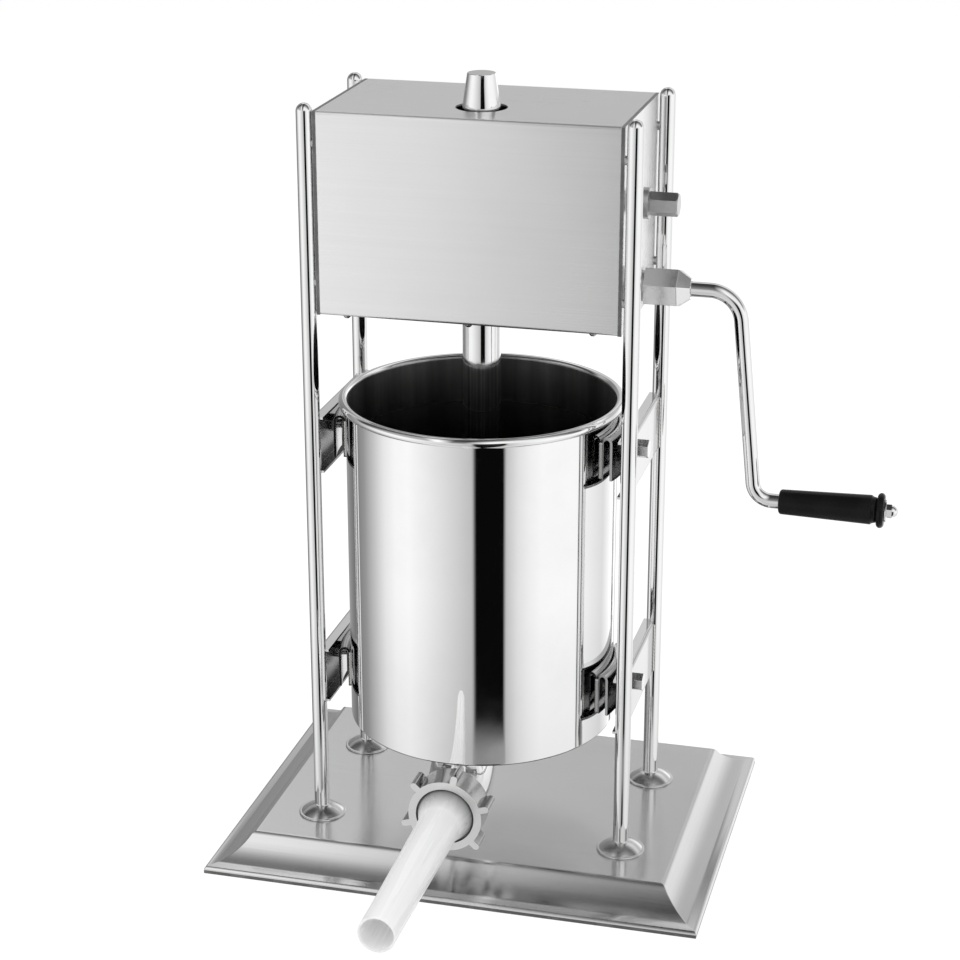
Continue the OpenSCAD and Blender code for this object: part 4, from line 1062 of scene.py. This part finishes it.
# %% Bend the arm
deselect()
bpy.ops.mesh.primitive_circle_add(vertices=40, radius=ARM_R, location=(arm_low.x, arm_y, hub_z),
                                  rotation=(0, math.pi / 2, 0))
arm = named("arm_bar")
bpy.ops.object.transform_apply()
edit_all(arm)
extrude((bend_x - arm_low.x, 0, 0))
bpy.ops.mesh.spin(steps=14, angle=bend, center=(bend_x, arm_y, hub_z - TOP_BEND), axis=(0, -1, 0))
extrude(run)
bpy.ops.mesh.spin(steps=12, angle=bend, center=(low_x, arm_y, grip_z + LOW_BEND), axis=(0, 1, 0))
extrude((grip_x - GRIP_GAP - low_x, 0, 0))
extrude((0, 0, 0))
slim = SPINDLE_R / ARM_R
bpy.ops.transform.resize(value=(1, slim, slim), center_override=(0, arm_y, grip_z))
extrude((nut_x - grip_x, 0, 0))
bpy.ops.mesh.select_all(action="SELECT")
bpy.ops.mesh.remove_doubles(threshold=MERGE)
bpy.ops.mesh.fill_holes(sides=0)
face_outwards()
finish_normals(arm, angle=40)
seat(arm, "crank_arm", bright_bar, "crank_arm")

# %% [markdown]
# ### Grip
# The grip is moulded: a round shoulder at the arm, a long swell, a groove and a bead at the outer end. It
# turns on the spindle between a washer and a cap nut, so it is hollow like the real one.

# %% Turn the grip
BORE = 4.58 * MM
NECK_R = 10.2 * MM
SWELL_R = 12 * MM
SHOULDER = 2.5 * MM
GROOVE = 2 * MM
GROOVE_DEEP = 1.5 * MM
BEAD = 3 * MM
CAP_EDGE = 0.3 * MM
grip_low, grip_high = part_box("crank_grip")
grip_axis = Vector((grip_low.x, (grip_low.y + grip_high.y) / 2, (grip_low.z + grip_high.z) / 2))
grip_len = grip_high.x - grip_low.x
rim_r = (grip_high.y - grip_low.y) / 2
groove_r = SWELL_R - GROOVE_DEEP
swell_at = grip_len - 2 * BEAD - 2 * GROOVE
grip_line = [(BORE, 0.0)] + arc(NECK_R - SHOULDER, SHOULDER, SHOULDER, -90, -5, 6)
grip_line += arc(SWELL_R - MM, swell_at - MM, MM, 5, 80, 5)
grip_line += arc(groove_r + MM, swell_at + 2 * MM, MM, 215, 150, 5)
grip_line += arc(rim_r - BEAD, grip_len - BEAD, BEAD, -130, 90, 16) + [(BORE, grip_len), (BORE, 0.0)]
grip = lathe("moulded_grip", grip_line, grip_axis, (1, 0, 0), 64)
finish_normals(grip, angle=40)
seat(grip, "crank_grip", grip_black, "crank_grip")
for node in ("grip_washer", "grip_nut"):
    seat(soften(node, CAP_EDGE), node, bright_bar, node)

# %% [markdown]
# ## The studio
# Bright metal shows the room more than itself. The room is a white tent with a few dark gaps, as a
# photographer builds it: a slot beside the camera draws the dark stripe down canister and posts, a dim zone
# behind edges them, and bands overhead model the cove of the tray. A tent painted on the world by angle is
# quick to change and never stands in the way.

# %% Levels of the tent, by angle in degrees
AZIMUTH_STOPS = [
    (-180, 0.85), (-172, 0.44), (-150, 0.34), (-125, 0.17), (-104, 0.33), (-89, 0.60), (-76, 0.88),
    (-64, 1.02), (-50, 1.06), (-34, 0.94), (-16, 0.78), (-4, 0.67), (6.5, 0.56), (9, 0.003), (32.5, 0.003),
    (35, 0.60), (45, 0.84), (55, 0.97), (66, 1.06), (100, 1.05), (140, 0.80), (157, 1.1), (166, 1.4),
    (178, 1.1)]
LEFT_STOPS = [
    (-20, 1.0), (20, 1.15), (45, 1.15), (62, 1.06), (78, 0.54), (95, 0.24), (114, 0.12), (124, 0.55),
    (132, 1.10), (141, 1.05), (149, 0.57), (160, 0.60), (172, 0.64)]
RIGHT_STOPS = [
    (-20, 0.80), (20, 0.30), (45, 0.15), (62, 0.08), (78, 0.05), (95, 0.04), (114, 0.05), (123, 0.20),
    (129, 0.95), (136, 1.05), (140, 0.50), (145, 0.22), (148.5, 0.30), (151, 0.64), (154, 0.74), (172, 0.68)]
print(len(AZIMUTH_STOPS), "stops around,", len(LEFT_STOPS) + len(RIGHT_STOPS), "overhead")

# %% World and the ramps of the tent
world = bpy.data.worlds.new("tent")
bpy.context.scene.world = world
world.use_nodes = True
tent = world.node_tree
background = tent.nodes["Background"]
direction = add_node(tent, "ShaderNodeTexCoord").outputs["Generated"]
split = add_node(tent, "ShaderNodeSeparateXYZ", {0: direction}).outputs
front = maths(tent, "MULTIPLY", split["Y"], -1.0)


def ramp_by_angle(tree, top, side, stops):
    """A grey level from the angle atan2(top, side), given as (degrees, level) stops."""
    angle = maths(tree, "ARCTAN2", top, side)
    ramp = add_node(tree, "ShaderNodeValToRGB", {"Fac": spread(tree, angle, -math.pi, math.pi)})
    points = ramp.color_ramp.elements
    while len(points) < len(stops):
        points.new(0.5)
    for point, (degrees, level) in zip(points, stops):
        point.position = (degrees + 180) / 360
        point.color = (level, level, level, 1)
    return ramp.outputs["Color"]


around = ramp_by_angle(tent, split["X"], front, AZIMUTH_STOPS)
over_left = ramp_by_angle(tent, split["Z"], front, LEFT_STOPS)
over_right = ramp_by_angle(tent, split["Z"], front, RIGHT_STOPS)
print("three ramps in", world.name)

# %% [markdown]
# ### Putting the tent together
# Overhead, the right-hand bands take over in a strip near the middle, and both sides dim outward. Low down,
# a strip of paper lies in the dark slot and the table dims the wall. Only rays from metal and plastic see
# the tent: the camera sees plain white, and all else gets an even light.

# %% Put the tent together
STRIP_FROM = (-0.31, -0.15)
STRIP_TO = (0.0, 0.3)
DIM_LEFT = (-0.36, -0.46, 1.0, 0.4)
DIM_RIGHT = (0.1, 0.5, 1.0, 0.85)
PAPER_TOP = (-0.443, -0.448)
PAPER_END = (-0.462, -0.466)
PAPER = 0.42
TABLE_DIM = (-0.39, -0.46, 1.0, 0.84)
ROOF = (0.12, 0.34)
AMBIENT = 0.55
from_left = spread(tent, split["X"], *STRIP_FROM)
to_right = maths(tent, "SUBTRACT", from_left, spread(tent, split["X"], *STRIP_TO))
shade = maths(tent, "MULTIPLY", spread(tent, split["X"], *DIM_LEFT), spread(tent, split["X"], *DIM_RIGHT))
overhead = maths(tent, "MULTIPLY", blend_colour(tent, to_right, over_left, over_right), shade)
strip = maths(tent, "SUBTRACT", spread(tent, split["Z"], *PAPER_TOP), spread(tent, split["Z"], *PAPER_END))
walls = maths(tent, "MAXIMUM", around, maths(tent, "MULTIPLY", strip, PAPER))
low_down = maths(tent, "MULTIPLY", walls, spread(tent, split["Z"], *TABLE_DIM))
tent_colour = blend_colour(tent, spread(tent, split["Z"], *ROOF), low_down, overhead)
path = add_node(tent, "ShaderNodeLightPath").outputs
shiny = maths(tent, "MAXIMUM", path["Is Glossy Ray"], path["Is Transmission Ray"])
lit = blend_colour(tent, shiny, grey(AMBIENT), tent_colour)
feed(tent, background.inputs["Color"], blend_colour(tent, path["Is Camera Ray"], lit, grey(1.0)))
print("tent of", len(tent.nodes), "nodes")

# %% [markdown]
# ### Floor and soft boxes
# The floor is white paper that keeps a soft shadow. To the camera it glows a little, so it runs into the
# white behind it. Three soft boxes give the shadow its direction; metal doesn't see them.

# %% Floor
GLOW = 1.2
GLOW_SHARE = 0.7
deselect()
bpy.ops.mesh.primitive_plane_add(size=40)
floor = named("floor")
floor_white, tree, shader = new_material("white floor", Base_Color=(0.92, 0.92, 0.92, 1), Roughness=0.9)
glow = add_node(tree, "ShaderNodeEmission", {"Color": (1, 1, 1, 1), "Strength": GLOW})
seen = maths(tree, "MULTIPLY", add_node(tree, "ShaderNodeLightPath").outputs["Is Camera Ray"], GLOW_SHARE)
mixed = add_node(tree, "ShaderNodeMixShader", {0: seen, 1: shader.outputs[0], 2: glow.outputs[0]})
feed(tree, tree.nodes["Material Output"].inputs["Surface"], mixed.outputs[0])
floor.data.materials.append(floor_white)
floor.visible_glossy = False

# %% Soft boxes
middle = Vector((0, 0, (cad_box[0].z + cad_box[1].z) / 2))
SOFT_BOXES = {"key_box": ((-1.5, -1.5, 1.9), 1.8, 22), "fill_box": ((1.8, -0.9, 1.5), 1.6, 12),
              "top_box": ((0.1, 0.2, 2.4), 1.6, 14)}
for name, (place, size, power) in SOFT_BOXES.items():
    lamp = bpy.data.lights.new(name, "AREA")
    lamp.size = size
    lamp.energy = power
    box = bpy.data.objects.new(name, lamp)
    box.location = place
    box.visible_glossy = False
    box.rotation_euler = (middle - Vector(place)).to_track_quat("-Z", "Y").to_euler()
    bpy.context.collection.objects.link(box)
print(len(SOFT_BOXES), "soft boxes")

# %% [markdown]
# ## The camera
# The view is from the front right and from above, with a long lens. Place, turn and lens were fitted to the
# tray, the posts and the head, so the frame needs no shift.

# %% Camera and colour
LENS = 89.1
SENSOR = 36
CAMERA_PLACE = (0.4642, -1.8107, 1.0038)
CAMERA_TURN = (69.80, 0.06, 14.67)
lens = bpy.data.cameras.new("camera")
lens.lens = LENS
lens.sensor_width = SENSOR
camera = bpy.data.objects.new("camera", lens)
camera.location = CAMERA_PLACE
camera.rotation_euler = [math.radians(turn) for turn in CAMERA_TURN]
bpy.context.collection.objects.link(camera)
bpy.context.scene.camera = camera
bpy.context.scene.view_settings.view_transform = "Standard"
print("camera with a", LENS, "mm lens at", CAMERA_PLACE)

# %% Sizes
print("cad", [tuple(round(v, 4) for v in corner) for corner in cad_box])
